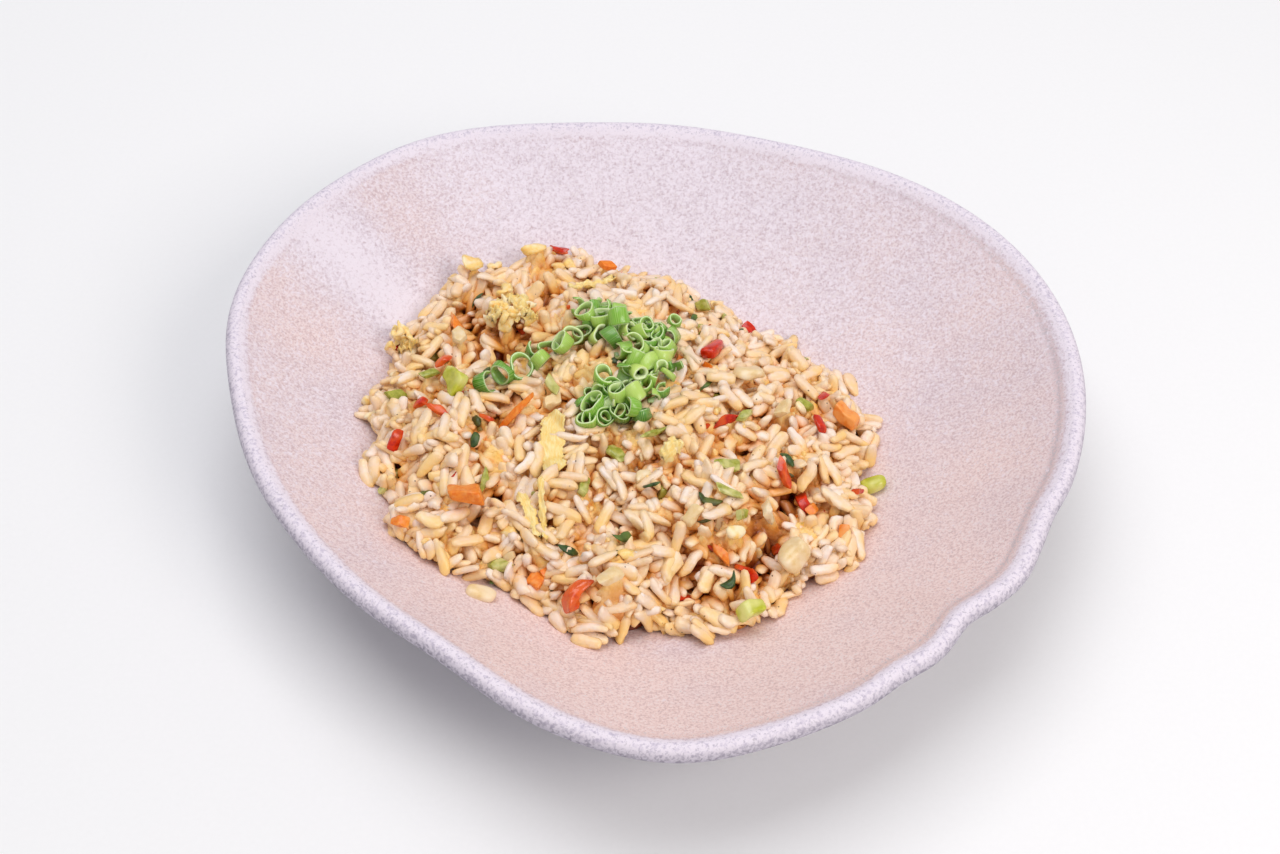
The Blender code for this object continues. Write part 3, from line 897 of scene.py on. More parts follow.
def pile_top(balls, radii):
    """Highest ball over each grid point. Each ball is added at its middle and eight places
    round it, and gaps take the height of the heap's smooth top, a grain lower."""
    pile = top_field - GAP_DROP
    for bearing in np.arange(9) * np.pi / 4:
        out = 0.0 if bearing == 0 else 0.7 * radii
        x, y = balls[:, 0] + out * np.cos(bearing), balls[:, 1] + out * np.sin(bearing)
        i = np.rint((x - GRID_LOW[0]) / CELL).astype(int)
        j = np.rint((y - GRID_LOW[1]) / CELL).astype(int)
        drop = radii if bearing == 0 else 0.7 * radii
        np.maximum.at(pile, (i, j), balls[:, 2] + drop)
    return pile


pile_field = pile_top(balls.reshape(-1, 3), radius_of)
cloth_field = smooth(-widen_low(-pile_field, 1), 5)
sheet_field = smooth(-widen_low(-pile_field, 2), 30)
print("pile rises to", round(float(pile_field[in_heap].max()) / MM, 1), "mm")

# %% [markdown]
# Sticky grains come out of the pan in pairs, side by side and fused. So some grains get a
# partner, moved sideways by less than a grain's width and turned a little.

# %% Stuck pairs
PAIRED_SHARE = 0.26           # of the grains get a partner
PAIR_TURN = 9                 # spread of the turn between the two, in degrees
PAIR_GAP = 0.66               # of a width between their middles


def sideways(axis):
    """A level direction across each axis, and the direction over both."""
    side = unit(np.cross([0, 0, 1.0], axis) + 1e-6)
    return side, np.cross(axis, side)


grains = np.nonzero(kind == 0)[0]
paired = grains[rng.uniform(0, 1, len(grains)) < PAIRED_SHARE]
side, over = sideways(axis[paired])
swing = np.radians(rng.normal(0, PAIR_TURN, len(paired)))[:, None]
hand = rng.choice([-1.0, 1.0], len(paired))[:, None]
shift = hand * side * width[paired][:, None] * PAIR_GAP + over * 0.3 * MM
shift = shift + axis[paired] * rng.normal(0, 1.2, len(paired))[:, None] * MM
middle = np.concatenate([middle, middle[paired] + shift])
axis = np.concatenate([axis, unit(axis[paired] * np.cos(swing) + side * np.sin(swing))])
kind = np.concatenate([kind, kind[paired]])
length = np.concatenate([length, length[paired] * rng.uniform(0.75, 1.05, len(paired))])
width = np.concatenate([width, width[paired]])
thickness = np.concatenate([thickness, thickness[paired]])
print("stuck pairs:", len(paired))

# %% [markdown]
# The last grains off the spoon come to rest on top of the others, at any angle, with their
# whole outline free. They are laid on the draped cloth, with no packing. Those that would
# land under a topping or on a listed bit are left out.

# %% Loose grains on top
LOOSE_COUNT = 260             # dropped; about half of them stay
EDGE_MARGIN, BIT_CLEARANCE = 6 * MM, 6 * MM
UNEVEN = 0.18                 # spread of a grain's slope about the cloth's


def drop_grains(count):
    """Adds grains that rest on the cloth: its height at both ends gives their slope."""
    away, reach = random_ways(count)
    out = (reach - EDGE_MARGIN) * np.sqrt(rng.uniform(0, 1, count))
    at = HEAP_MIDDLE + out[:, None] * away
    long = (9.6 + rng.normal(0, 1.0, count).clip(-2, 2)) * MM
    yaw = rng.uniform(0, 2 * np.pi, count)
    ahead = 0.42 * long[:, None] * np.stack([np.cos(yaw), np.sin(yaw)], -1)
    front = height_at(cloth_field, *(at + ahead).T)
    back = height_at(cloth_field, *(at - ahead).T)
    bits = middle[:len(heap)][laid, :2]
    clear = np.linalg.norm(at[:, None] - bits, axis=2).min(1) > BIT_CLEARANCE
    clear = clear & (height_at(lid_field, *at.T) > 0.2 * HIGH)
    lie = np.concatenate([2 * ahead, (front - back)[:, None]], 1)
    lie[:, 2] += rng.normal(0, UNEVEN, count) * long
    place = np.stack([*at.T, (front + back) / 2 + 0.2 * MM], -1)
    return place[clear], unit(lie)[clear], long[clear]


loose_middle, loose_axis, loose_length = drop_grains(LOOSE_COUNT)
middle = np.concatenate([middle, loose_middle])
axis = np.concatenate([axis, loose_axis])
length = np.concatenate([length, loose_length])
width = np.concatenate([width, rng.normal(3.5, 0.3, len(loose_length)) * MM])
thickness = np.concatenate([thickness, rng.normal(2.3, 0.15, len(loose_length)) * MM])
kind = np.concatenate([kind, np.zeros(len(loose_length))])
print("loose grains on top:", len(loose_length))

# %% [markdown]
# ## From pieces to meshes
#
# A grain, a chopped cube and a herb flake are the same formula with other numbers: rings of
# a rounded section are carried along the piece's length and shrink to a point at both ends.
# A high power makes sections square and ends blunt, a low one makes them round. Slow random
# waves then bend and dent each copy, so that no two are alike.

# %% Lumps
def lumps(chosen, stations, around, boxy, blunt, bend, dent, skew):
    """Points of many closed lumps at once, how far up each point lies, and the faces.

    A lump has that many stations along its length, and points around each. Along the length
    s runs from -1 to 1. The section's size is (1 - |s|^blunt)^(1/blunt); its outline is a
    superellipse of power boxy. bend lifts the ends by a share of the length, dent is the
    depth of random waves, skew leans the cut ends over.
    """
    count = len(chosen)
    s = np.cos(np.linspace(np.pi, 0, stations + 2)[1:-1])
    section = (1 - np.abs(s) ** blunt) ** (1 / blunt)
    phi = np.arange(around) * 2 * np.pi / around
    ring_y = np.sign(np.cos(phi)) * np.abs(np.cos(phi)) ** (2 / boxy)
    ring_z = np.sign(np.sin(phi)) * np.abs(np.sin(phi)) ** (2 / boxy)
    size = np.stack([length, width, thickness], -1)[chosen] / 2

    def chance(spread_by, *shape):
        """One random number for each lump, at most twice its spread from 0."""
        return rng.normal(0, spread_by, (count, *shape)).clip(-2 * spread_by, 2 * spread_by)

    taper = 1 + chance(0.15, 1) * s
    wave = 1 + (chance(dent, 1, 1) * np.sin(2.1 * s[:, None] + 2 * phi + chance(2, 1, 1))
                + chance(dent, 1, 1) * np.sin(3.7 * s[:, None] - 3 * phi + chance(2, 1, 1))
                + chance(dent, 1, 1) * np.cos(4.4 * s[:, None] + phi + chance(2, 1, 1)))
    across = (section * taper)[:, :, None] * wave * ring_y
    up = (section * taper)[:, :, None] * wave * ring_z
    along = np.broadcast_to(s[None, :, None], across.shape)
    along = along + skew * (chance(1, 1, 1) * across + chance(1, 1, 1) * up)
    body = np.stack([along, across, up], -1).reshape(count, -1, 3)
    ends = np.zeros((count, 2, 3))
    ends[:, 0, 0], ends[:, 1, 0] = -1, 1
    points = np.concatenate([body, ends], 1)
    arch = points[..., 0] ** 2 - 0.4
    points = points * size[:, None]
    points[..., 2] += chance(bend, 1) * arch * 2 * size[:, None, 0]
    points[..., 1] += chance(bend, 1) * arch * 2 * size[:, None, 0]
    side, over = sideways(axis[chosen])
    roll = chance(0.5)[:, None]
    side, over = (side * np.cos(roll) + over * np.sin(roll),
                  over * np.cos(roll) - side * np.sin(roll))
    points = points @ np.stack([axis[chosen], side, over], 1)
    rise = points[..., 2] / (size[:, 1:2] + 0.3 * size[:, :1] * np.abs(axis[chosen, 2:3]))
    quads, triangles = ring_faces(stations, around)
    stride = stations * around + 2
    return (points + middle[chosen][:, None], rise, copies(quads, count, stride),
            copies(triangles, count, stride))


# %% [markdown]
# The materials need to know things that only the whole pile knows, so they are kept as
# numbers on the points. Two are random for each piece: its tint, and how much seasoning it
# took up, most in the one clump that sits in the spring onion's crescent. That second number
# also grows a little towards the left of the heap, and that part is painted shade. "rise" is
# how high up its own piece a point is; the rice paints its lower sides golden with it, as
# oil film and a painted glow. "deep" is how far under the sheet a point lies; the rice,
# vegetables, spring onion and core paint deep points darker with it, as painted shade. At
# the heap's edge light comes in from the side, so there a deep point counts as less deep.

# %% Pieces with their numbers
OILY_CLUMP, OILY_REACH, OILY_GAIN = np.array([-18.0, 15.5]), 6 * MM, 1.6
# Painted shade: the seasoning number grows a little towards the left of the heap.
LEFT_SHADE_START, LEFT_SHADE_SPAN, LEFT_SHADE_GAIN = -35, 40, 0.2     # in mm to the left of the middle
LIT_EDGE, LIT_LEAST = 12 * MM, 0.3
EDGED_ABOVE, EDGE_ANGLE = 3, 38                     # boxy shapes keep edges over this angle


def deep_under(flat):
    """How far each point lies under the sheet over the pile, in millimetres."""
    return (height_at(sheet_field, flat[:, 0], flat[:, 1]) - flat[:, 2]) / MM


def piece_of(name, chosen, shape, material, slot, *nodes):
    """One object from many lumps, with its four numbers on each point."""
    points, rise, quads, triangles = lumps(chosen, *shape)
    tints = rng.uniform(0, 1, (2, len(chosen), 1))
    off = (middle[chosen, :2] - OILY_CLUMP * MM) / OILY_REACH
    oil_and_left_shade = OILY_GAIN * np.exp(-0.5 * (off ** 2).sum(1)) + LEFT_SHADE_GAIN * np.clip(
        (LEFT_SHADE_START - middle[chosen, 0] / MM) / LEFT_SHADE_SPAN, 0, 1)
    tints[1] += oil_and_left_shade[:, None]
    tints = tints * np.ones(points.shape[1])
    flat = points.reshape(-1, 3)
    inside = outline_at(flat[:, 0], flat[:, 1]) - np.hypot(*(flat[:, :2] - HEAP_MIDDLE).T)
    deep = deep_under(flat) * (inside / LIT_EDGE).clip(LIT_LEAST, 1)
    thing = put_mesh(name, flat, quads, triangles,
                     {"tint": tints[0], "seasoning_and_left_shade": tints[1], "rise": rise, "deep": deep})
    if shape[2] > EDGED_ABOVE:
        thing.data.set_sharp_from_angle(angle=math.radians(EDGE_ANGLE))
    return dress(thing, material, slot, *nodes)


# %% Moist food
def wet(shader, roughness, ior, through, reach_mm, coat, coat_roughness=0.18):
    """Sets the gloss of moist food, the share of light that scatters through it and how
    far that light reaches, and the film of oil or water on it."""
    shader.inputs["Roughness"].default_value = roughness
    shader.inputs["IOR"].default_value = ior
    shader.inputs["Subsurface Weight"].default_value = through
    shader.inputs["Subsurface Radius"].default_value = (1.0, 0.9, 0.8)
    shader.inputs["Subsurface Scale"].default_value = reach_mm * MM
    shader.inputs["Coat Weight"].default_value = coat
    shader.inputs["Coat Roughness"].default_value = coat_roughness


# %% [markdown]
# ## Cooked rice
#
# A cooked grain is a translucent gel of starch. Light goes in, scatters for a millimetre or
# two and comes out warmer. A little subsurface scattering does that here: with more, the
# grains melt into each other. Frying leaves a thin film of oil, soy sauce and egg yolk in
# patches. The lower sides of each grain are painted more golden than the top: partly that
# film running down, partly a painted glow of the light that comes through the grain. Deeper
# in the pile the gaps are painted orange, then brown: that is painted shade. Coarse black
# pepper sits on a few grains. Starch gel has an IOR near that of a strong sugar solution,
# 1.45, and the oil makes it half glossy.

# %% Cooked rice material
PEPPER_CELLS = 260.0          # to a metre: specks half a millimetre wide, 4 mm apart


def fried_rice_grain():
    """Translucent cream grain with a golden oil film; a painted glow on its lower sides and
    painted shade deeper down.
    """
    material, tree, shader, place = start_material("fried_rice_grain")
    base = ramp(tree, number_of(tree, "tint"), (0.0, "F2D0A8"), (0.5, "F6DCC2"),
                (1.0, "FAE8DA"))
    streak = noise(tree, place, 1.7, 2.0, 0.6)
    # Painted glow, partly oil film: the lower sides of a grain turn golden.
    side_film_and_glow = plus(tree, number_of(tree, "rise"), streak, 1.6)
    base = mix(tree, spread(tree, side_film_and_glow, 1.5, 0.4, 0.0, 0.8), base, "FFD082")
    # The oil film also grows a little at the left of the heap, which is painted shade.
    film = plus(tree, noise(tree, place, 7.0, 3.0, 0.6), number_of(tree, "seasoning_and_left_shade"), 0.2)
    base = mix(tree, spread(tree, film, 0.52, 0.8, 0.0, 0.65), base, "FCCF72")
    # Painted shade: orange, then brown, the deeper a point lies under the pile's sheet.
    deep = plus(tree, number_of(tree, "deep"), streak, 1.0)
    base = mix(tree, spread(tree, deep, 3.0, 5.6, 0.0, 0.85), base, "EE9C2C")
    base = mix(tree, spread(tree, deep, 5.2, 8.4, 0.0, 0.98), base, "862E02")
    speck = add(tree, "TexVoronoi", Vector=place, Scale=PEPPER_CELLS)
    base = mix(tree, spread(tree, speck.outputs["Distance"], 0.075, 0.05, 0.0, 0.85), base,
               "4A2A10")
    tree.links.new(base, shader.inputs["Base Color"])
    wet(shader, 0.34, 1.45, 0.15, 1.5, 0.2, 0.22)
    bump(tree, shader, streak, 0.5, 0.6)
    return material


# %% [markdown]
# No grain leaves the pan quite like the next. A third of them are smooth, a third blunt and
# a third split or dented. Each third is one object of grains with few faces, and its row
# gives what the lump function takes.

# %% Rice grains
GRAIN_SHAPES = {
    "rice_grains": (7, 8, 2.3, 3.2, 0.03, 0.06, 0.05),
    "rice_grains_blunt": (7, 8, 2.6, 4.0, 0.025, 0.09, 0.10),
    "rice_grains_broken": (7, 8, 2.8, 3.6, 0.03, 0.13, 0.15),
}
rice_material = fried_rice_grain()
thirds = np.array_split(rng.permutation(np.nonzero(kind == 0)[0]), len(GRAIN_SHAPES))
for (name, shape), share in zip(GRAIN_SHAPES.items(), thirds):
    piece_of(name, share, shape, rice_material, "fried_rice", "rice_heap")

# %% [markdown]
# ## Chopped vegetables
#
# Each kind differs in how it takes light. Red pepper has a waxy skin over wet flesh, so it
# shines most. Carrot is dense and duller where it is cut. Green stalk and celery are wet and
# pale inside, cooked onion is cream and lets light in, a herb leaf is thin, dark and dull,
# and egg curd is matt. Watery flesh has an IOR of 1.40. One function makes them all from
# three colours, the size of the mottle in millimetres, and what wet() takes.

# %% Vegetable materials
def vegetable(name, low, high, pale, grain_mm, finish):
    """Moist cut vegetable: two mottled colours, and a paler cut face here and there.

    finish is roughness, IOR, share of light that goes through, its reach in millimetres,
    and coat.
    """
    material, tree, shader, place = start_material(name)
    mottle = noise(tree, place, grain_mm, 3.0, 0.6)
    base = mix(tree, spread(tree, mottle, 0.35, 0.65), low, high)
    cut = plus(tree, noise(tree, place, 2.4 * grain_mm, 1.0), number_of(tree, "tint"), 0.35)
    base = mix(tree, spread(tree, cut, 0.62, 0.85, 0.0, 0.7), base, pale)
    # Painted shade: brown, the deeper a point lies under the pile's sheet.
    deep = spread(tree, number_of(tree, "deep"), 1.5, 7.0, 0.0, 0.6)
    tree.links.new(mix(tree, deep, base, "8A4410"), shader.inputs["Base Color"])
    wet(shader, *finish)
    bump(tree, shader, mottle, 0.12, 0.6)
    return material


red_pepper, carrot, stalk, herb, onion, celery, egg = (vegetable(*row) for row in (
    ("red_pepper_flesh", "B61A06", "DE360C", "EC7028", 1.6, (0.20, 1.42, 0.15, 0.8, 0.3)),
    ("carrot_flesh", "E8761C", "F59331", "F7AE62", 0.9, (0.34, 1.40, 0.3, 1.2, 0.15)),
    ("green_stalk_flesh", "8E9430", "B2B24C", "DCD690", 1.1, (0.26, 1.40, 0.3, 1.2, 0.3)),
    ("dark_herb_leaf", "2A3F1C", "445F28", "69803A", 1.3, (0.42, 1.40, 0.1, 0.5, 0.15)),
    ("cooked_onion", "E8C88C", "F0D6A6", "F6E4C6", 1.8, (0.30, 1.40, 0.3, 1.5, 0.2)),
    ("celery_flesh", "B2B626", "CCCC44", "E8E496", 2.0, (0.26, 1.40, 0.3, 1.2, 0.3)),
    ("fried_egg_curd", "FFCE70", "FFE09E", "FFF2D2", 1.2, (0.42, 1.40, 0.3, 1.2, 0.15))))

# %% Vegetable pieces in the heap
for name, material, slot, shape in (
        ("red_pepper", red_pepper, "red_pepper", (6, 12, 5.0, 6.0, 0.05, 0.05, 0.4)),
        ("carrot", carrot, "carrot", (6, 12, 6.0, 7.0, 0.0, 0.04, 0.3)),
        ("green_stalk", stalk, "green_vegetable", (6, 12, 4.5, 6.0, 0.05, 0.06, 0.4)),
        ("herb", herb, "green_vegetable", (6, 8, 2.4, 2.2, 0.12, 0.12, 0.3)),
        ("egg_crumb", egg, "egg", (7, 10, 2.6, 2.6, 0.06, 0.2, 0.2)),
        ("onion_dice", onion, "pale_vegetable", (6, 10, 4.0, 4.6, 0.05, 0.09, 0.3))):
    piece_of(name + "_bits", np.nonzero(kind == KINDS.index(name))[0], shape, material, slot)

# %% [markdown]
# ## The large toppings
#
# Each large topping has its own solid in the part. Its place, direction and size are read
# back from that solid: the longest direction of its points, how far they reach each way, and
# the middle of that. The real piece is a lump that fills the same space, or a share of it
# where the solid is a little too full for the cut piece. Dice are boxy and blunt, slabs less
# so, and the pieces that cooking rounded off have their own numbers.

# %% Poses of the toppings
def pose_of(node):
    """Middle, long axis and (length, width, thickness) of one of the part's solids.

    The long axis is the direction in which the points spread most, seen from above.
    """
    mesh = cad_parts[node].data
    points = np.empty(len(mesh.vertices) * 3)
    mesh.vertices.foreach_get("co", points)
    points = np.unique(points.reshape(-1, 3).round(6), axis=0)
    off = points - points.mean(0)
    spread_of = np.linalg.eigh(off[:, :2].T @ off[:, :2])[1]
    along = np.array([*spread_of[:, 1], 0])
    slope = (off @ along) @ off[:, 2] / ((off @ along) ** 2).sum()
    along = unit(along + np.array([0, 0, slope]))
    side, over = sideways(along)
    reach = [np.ptp(points @ way) for way in (along, side, over)]
    ends = [(points @ way).max() + (points @ way).min() for way in (along, side, over)]
    centre = (ends[0] * along + ends[1] * side + ends[2] * over) / 2
    return centre, along, reach


# %% Large toppings
DICE = (14, 28, 6.0, 8.0, 0.02, 0.05, 0.15)
SLAB = (14, 28, 4.0, 5.0, 0.05, 0.08, 0.15)
FULL = (1, 1, 1)              # shares of the solid's length, width and thickness
LARGE = (                     # name, solid, material, slot, shape, fill
    ("carrot_cube", "carrot_dice", carrot, "carrot", DICE, FULL),
    ("carrot_strip", "carrot_dice_right", carrot, "carrot", DICE, FULL),
    ("red_pepper_corner", "red_pepper_front", red_pepper, "red_pepper", SLAB, (1, 0.8, 0.9)),
    ("red_pepper_sliver", "red_pepper_top", red_pepper, "red_pepper", SLAB, FULL),
    ("celery_piece", "celery_slice", celery, "green_vegetable", SLAB, FULL),
    ("celery_piece_front", "celery_slice_front", celery, "green_vegetable", SLAB,
     (0.9, 0.8, 0.8)),
    ("onion_petal", "white_onion_petal", onion, "pale_vegetable",
     (14, 24, 2.6, 2.6, 0.08, 0.10, 0.1), FULL),
    ("pale_cube", "pale_dice", onion, "pale_vegetable",
     (14, 28, 2.8, 3.4, 0.05, 0.10, 0.1), FULL),
    ("bean", "loose_bean", celery, "green_vegetable",
     (14, 24, 2.2, 2.6, 0.03, 0.03, 0.0), FULL),
    ("rice_flake", "loose_rice_flake", onion, "fried_rice",
     (14, 24, 2.4, 3.0, 0.05, 0.06, 0.1), FULL),
)
centres, alongs, reaches = (np.array(column) for column in zip(
    *(pose_of(row[1]) for row in LARGE)))
reaches = reaches * [row[-1] for row in LARGE]
first_large = len(length)
middle, axis = np.vstack([middle, centres]), np.vstack([axis, alongs])
length, width, thickness = (np.append(whole, more) for whole, more in zip(
    (length, width, thickness), reaches.T))
for number, (name, node, material, slot, shape, _) in enumerate(LARGE):
    piece_of(name, np.array([first_large + number]), shape, material, slot, node)

# %% [markdown]
# ## Spring onion
#
# Cut across, a spring onion leaf is a thin-walled tube. Each ring here is such a tube: a
# section loop (outer skin, cut top, inner skin, cut bottom) carried round a wavy circle.
# Some were split by the knife, and open like a C or lie nearly flat. The pieces lie in a
# loose crescent with a short trail, each tipped over its neighbours.

# %% Onion tubes
AROUND_TUBE, AROUND_WALL = 26, 8
CUT_ABOVE = 0.9               # the points this far up or down the loop are on a cut
WALL_LOOP = np.array([        # how far out through the wall, and how far up
    (1.0, -0.8), (1.04, 0.0), (1.0, 0.8), (0.5, 1.0), (0.0, 0.85), (-0.04, 0.0), (0.0, -0.85),
    (0.5, -1.0)])


def tubes(place, lean, size, split, ragged):
    """Points of many short tubes, and for each point how far in and how far round it is.

    lean is each tube's axis. size is (radius, height, wall). split is the open part of the
    circle in radians, 0 for a whole ring. The radius and the cuts waver by ragged, a share.
    """
    count = len(place)
    turn = np.arange(AROUND_TUBE) / (AROUND_TUBE - (split > 0))
    turn = turn * (2 * np.pi - split) + rng.uniform(0, 2 * np.pi, (count, 1))
    phase = rng.uniform(0, 2 * np.pi, (count, 4, 1))
    oval = 1 + ragged * (1.2 * np.sin(2 * turn + phase[:, 0])
                         + 0.5 * np.sin(3 * turn + phase[:, 1]))
    tall = 1 + 1.6 * ragged * np.sin(turn + phase[:, 2])
    radius, height, wall = (size[:, k, None, None] for k in range(3))
    lifted = WALL_LOOP[:, 1] * height / 2 * tall[..., None]
    flare = 1 + ragged * np.sin(2 * turn + phase[:, 3])[..., None] * WALL_LOOP[:, 1]
    out = radius * oval[..., None] * flare - wall * (1 - WALL_LOOP[:, 0])
    local = np.stack([out * np.cos(turn)[..., None], out * np.sin(turn)[..., None],
                      lifted], -1)
    side, over = sideways(lean)
    points = local.reshape(count, -1, 3) @ np.stack([side, over, lean], 1) + place[:, None]
    inner = np.broadcast_to(1 - WALL_LOOP[:, 0], out.shape).reshape(count, -1)
    cut = np.broadcast_to(np.abs(WALL_LOOP[:, 1]) > CUT_ABOVE, out.shape).reshape(count, -1)
    round_by = np.broadcast_to(turn[..., None], out.shape).reshape(count, -1)
    return points, inner.astype(float), cut.astype(float), round_by


def tube_faces(split):
    """Quads and triangles of one tube: closed on itself, or with its ends capped by fans."""
    if split:
        return turned(*ring_faces(AROUND_TUBE, AROUND_WALL))
    ring, step = np.meshgrid(np.arange(AROUND_TUBE), np.arange(AROUND_WALL), indexing="ij")
    other, after = (ring + 1) % AROUND_TUBE, (step + 1) % AROUND_WALL
    quads = np.stack([ring * AROUND_WALL + step, other * AROUND_WALL + step,
                      other * AROUND_WALL + after, ring * AROUND_WALL + after], -1)
    return quads.reshape(-1, 4), np.empty((0, 3), int)


def make_tubes(name, groups, material, slot, ragged, *nodes):
    """One object from groups of tubes; each group is (places, leans, sizes, split)."""
    parts, quad_parts, triangle_parts, values, start = [], [], [], [], 0
    for place, lean, size, split in groups:
        points, inner, cut, round_by = tubes(place, lean, size, split, ragged)
        if split:
            shape = (len(place), AROUND_TUBE, AROUND_WALL, 3)
            ends = points.reshape(shape)[:, [0, -1]].mean(2)
            points = np.concatenate([points, ends], 1)
            inner, cut, round_by = (np.pad(each, ((0, 0), (0, 2)), mode="edge")
                                    for each in (inner, cut, round_by))
        tint = rng.uniform(0, 1, (len(place), 1)) * np.ones(points.shape[1])
        quads, triangles = tube_faces(split)
        stride = points.shape[1]
        quad_parts.append(copies(quads, len(place), stride) + start)
        triangle_parts.append(copies(triangles, len(place), stride) + start)
        parts.append(points.reshape(-1, 3))
        values.append(np.stack([inner.ravel(), cut.ravel(), round_by.ravel(), tint.ravel()]))
        start += len(place) * stride
    values = np.concatenate(values, 1)
    flat = np.concatenate(parts)
    numbers = dict(zip(("inner", "cut", "round", "tint"), values), deep=deep_under(flat))
    thing = put_mesh(name, flat, np.concatenate(quad_parts), np.concatenate(triangle_parts),
                     numbers)
    return dress(thing, material, slot, *nodes)


# %% [markdown]
# The rings are dropped along the crescent, and again pushed apart with the packing rule:
# here each ring is one ball, a little smaller than the ring, so that rings may lean into
# each other, and the pile's top is the floor. Narrower leaves grow inside wide ones, so
# some rings hold a second one.

# %% Drop the onion
CRESCENT_MIDDLE = np.array([-17.5, 17.0]) * MM
CRESCENT_RADIUS = 18.2 * MM
CRESCENT_HALF, CRESCENT_SPREAD = 97, 4.2       # degrees each way, and mm in and out
BALL_SHARE, BED_SHARE = 0.78, 0.55             # of a ring's radius, and of its ball's
DROP_MM, RING_SINK_MM = 5, 0.12                # height of the drop, and sinking each round
RING_PUSH, RING_DRIFT = 0.45, 0.03             # of an overlap, and back to where it fell


def drop_rings(x, y, radius, rounds=60):
    """Settles rings as balls on the pile. Overlapping ones push apart, each is drawn back
    a little to where it was dropped, and all sink."""
    ball = BALL_SHARE * radius
    start = np.stack([x, y, height_at(cloth_field, x, y) + ball
                      + rng.uniform(0, DROP_MM, len(x)) * MM], -1)
    place = start.copy()
    for _ in range(rounds):
        apart = place[None] - place[:, None]
        distance = np.linalg.norm(apart, axis=2) + 1e-9
        overlap = np.clip(ball[:, None] + ball[None] - distance, 0, None)
        np.fill_diagonal(overlap, 0)
        push = (apart / distance[..., None] * overlap[..., None]).sum(1)
        place = place - RING_PUSH * push / 2
        place[:, :2] = (1 - RING_DRIFT) * place[:, :2] + RING_DRIFT * start[:, :2]
        place[:, 2] -= RING_SINK_MM * MM
        bed = height_at(cloth_field, place[:, 0], place[:, 1]) + BED_SHARE * ball
        place[:, 2] = np.maximum(place[:, 2], bed)
    return place


def tipped(count, most):
    """Random tube axes: tipped from upright by up to most degrees, any way round."""
    tip = np.radians(rng.uniform(5, most, count))
    way = rng.uniform(0, 2 * np.pi, count)
    return np.stack([np.sin(tip) * np.cos(way), np.sin(tip) * np.sin(way), np.cos(tip)], -1)


RING_COUNT = 68
BIG_RING = RING_COUNT + 3     # a wide whole ring that lies flat, in the middle of the trail
bearing = np.radians(rng.uniform(-CRESCENT_HALF, CRESCENT_HALF, RING_COUNT))
band = CRESCENT_RADIUS + rng.normal(0, CRESCENT_SPREAD, RING_COUNT) * MM
ring_x = CRESCENT_MIDDLE[0] + band * np.cos(bearing)
ring_y = CRESCENT_MIDDLE[1] + band * np.sin(bearing)
trail = np.array([(-28, 24), (-31, 22), (-34, 20), (-39.5, 16), (-45, 14), (-50, 12),
                  (-36, 22), (-25, 27), (-22, 30)]) * MM
ring_x, ring_y = np.append(ring_x, trail[:, 0]), np.append(ring_y, trail[:, 1])
ring_radius = rng.uniform(2.1, 3.7, len(ring_x)) * MM
ring_radius[BIG_RING] = 4.2 * MM
ring_place = drop_rings(ring_x, ring_y, ring_radius)
ring_size = np.stack([ring_radius, rng.uniform(1.8, 6.0, len(ring_x)) * MM,
                      rng.uniform(0.6, 1.0, len(ring_x)) * MM], -1)
ring_lean = tipped(len(ring_x), 85)
ring_lean[BIG_RING] = (0.1, -0.25, 0.96)
ring_size[BIG_RING] = (4.2 * MM, 2.0 * MM, 0.9 * MM)
fate = rng.uniform(0, 1, len(ring_x))
fate[BIG_RING] = 0.0
on_trail = np.arange(len(ring_x)) >= RING_COUNT


def ring_group(which, split):
    """The chosen rings as a group for make_tubes, open by split radians."""
    return ring_place[which], ring_lean[which], ring_size[which], split


nested = (fate < 0.3) & (ring_radius > 2.8 * MM) & ~on_trail
inner_lean = unit(ring_lean[nested] + rng.normal(0, 0.12, (nested.sum(), 3)))
inner_rings = (ring_place[nested], inner_lean, ring_size[nested] * (0.6, 1.1, 0.9), 0)


# %% [markdown]
# A spring onion leaf has a thin waxy skin over wet, pale flesh, so it is glossy and bright
# where light comes through. Its skin runs from deep green near the tip to pale near the
# root, so each ring has its own tint. Fine veins run along the leaf, about sixty round it.
# Low in the pile the green darkens: that is painted shade.

# %% Spring onion pieces
def spring_onion_leaf():
    """Thin wet leaf: deep green skin with fine stripes, pale inside and at the cuts."""
    material, tree, shader, _ = start_material("spring_onion_leaf")
    stripe = add(tree, "Math", {"operation": "MULTIPLY"}, i0=number_of(tree, "round"), i1=2.6)
    stripe = add(tree, "TexNoise", {"noise_dimensions": "1D"}, W=stripe.outputs[0], Scale=4.0,
                 Detail=2.0).outputs["Fac"]
    skin_green = ramp(tree, number_of(tree, "tint"), (0.0, "3E861A"), (0.5, "7FB934"),
                      (1.0, "CCE274"))
    skin_green = mix(tree, spread(tree, stripe, 0.42, 0.62, 0.0, 0.45), skin_green, "C2DB84")
    inside = ramp(tree, number_of(tree, "tint"), (0.0, "90BE52"), (0.6, "BEDA84"),
                  (1.0, "E8F4C2"))
    base = mix(tree, spread(tree, number_of(tree, "inner"), 0.2, 0.8), skin_green, inside)
    base = mix(tree, spread(tree, number_of(tree, "cut"), 0.3, 1.0, 0.0, 0.85), base, "E8F3C4")
    shade = spread(tree, number_of(tree, "deep"), -3.0, 1.5, 0.0, 0.55)
    tree.links.new(mix(tree, shade, base, "24500E"), shader.inputs["Base Color"])
    wet(shader, 0.22, 1.42, 0.35, 1.0, 0.4)
    bump(tree, shader, stripe, 0.1, 0.5)
    return material


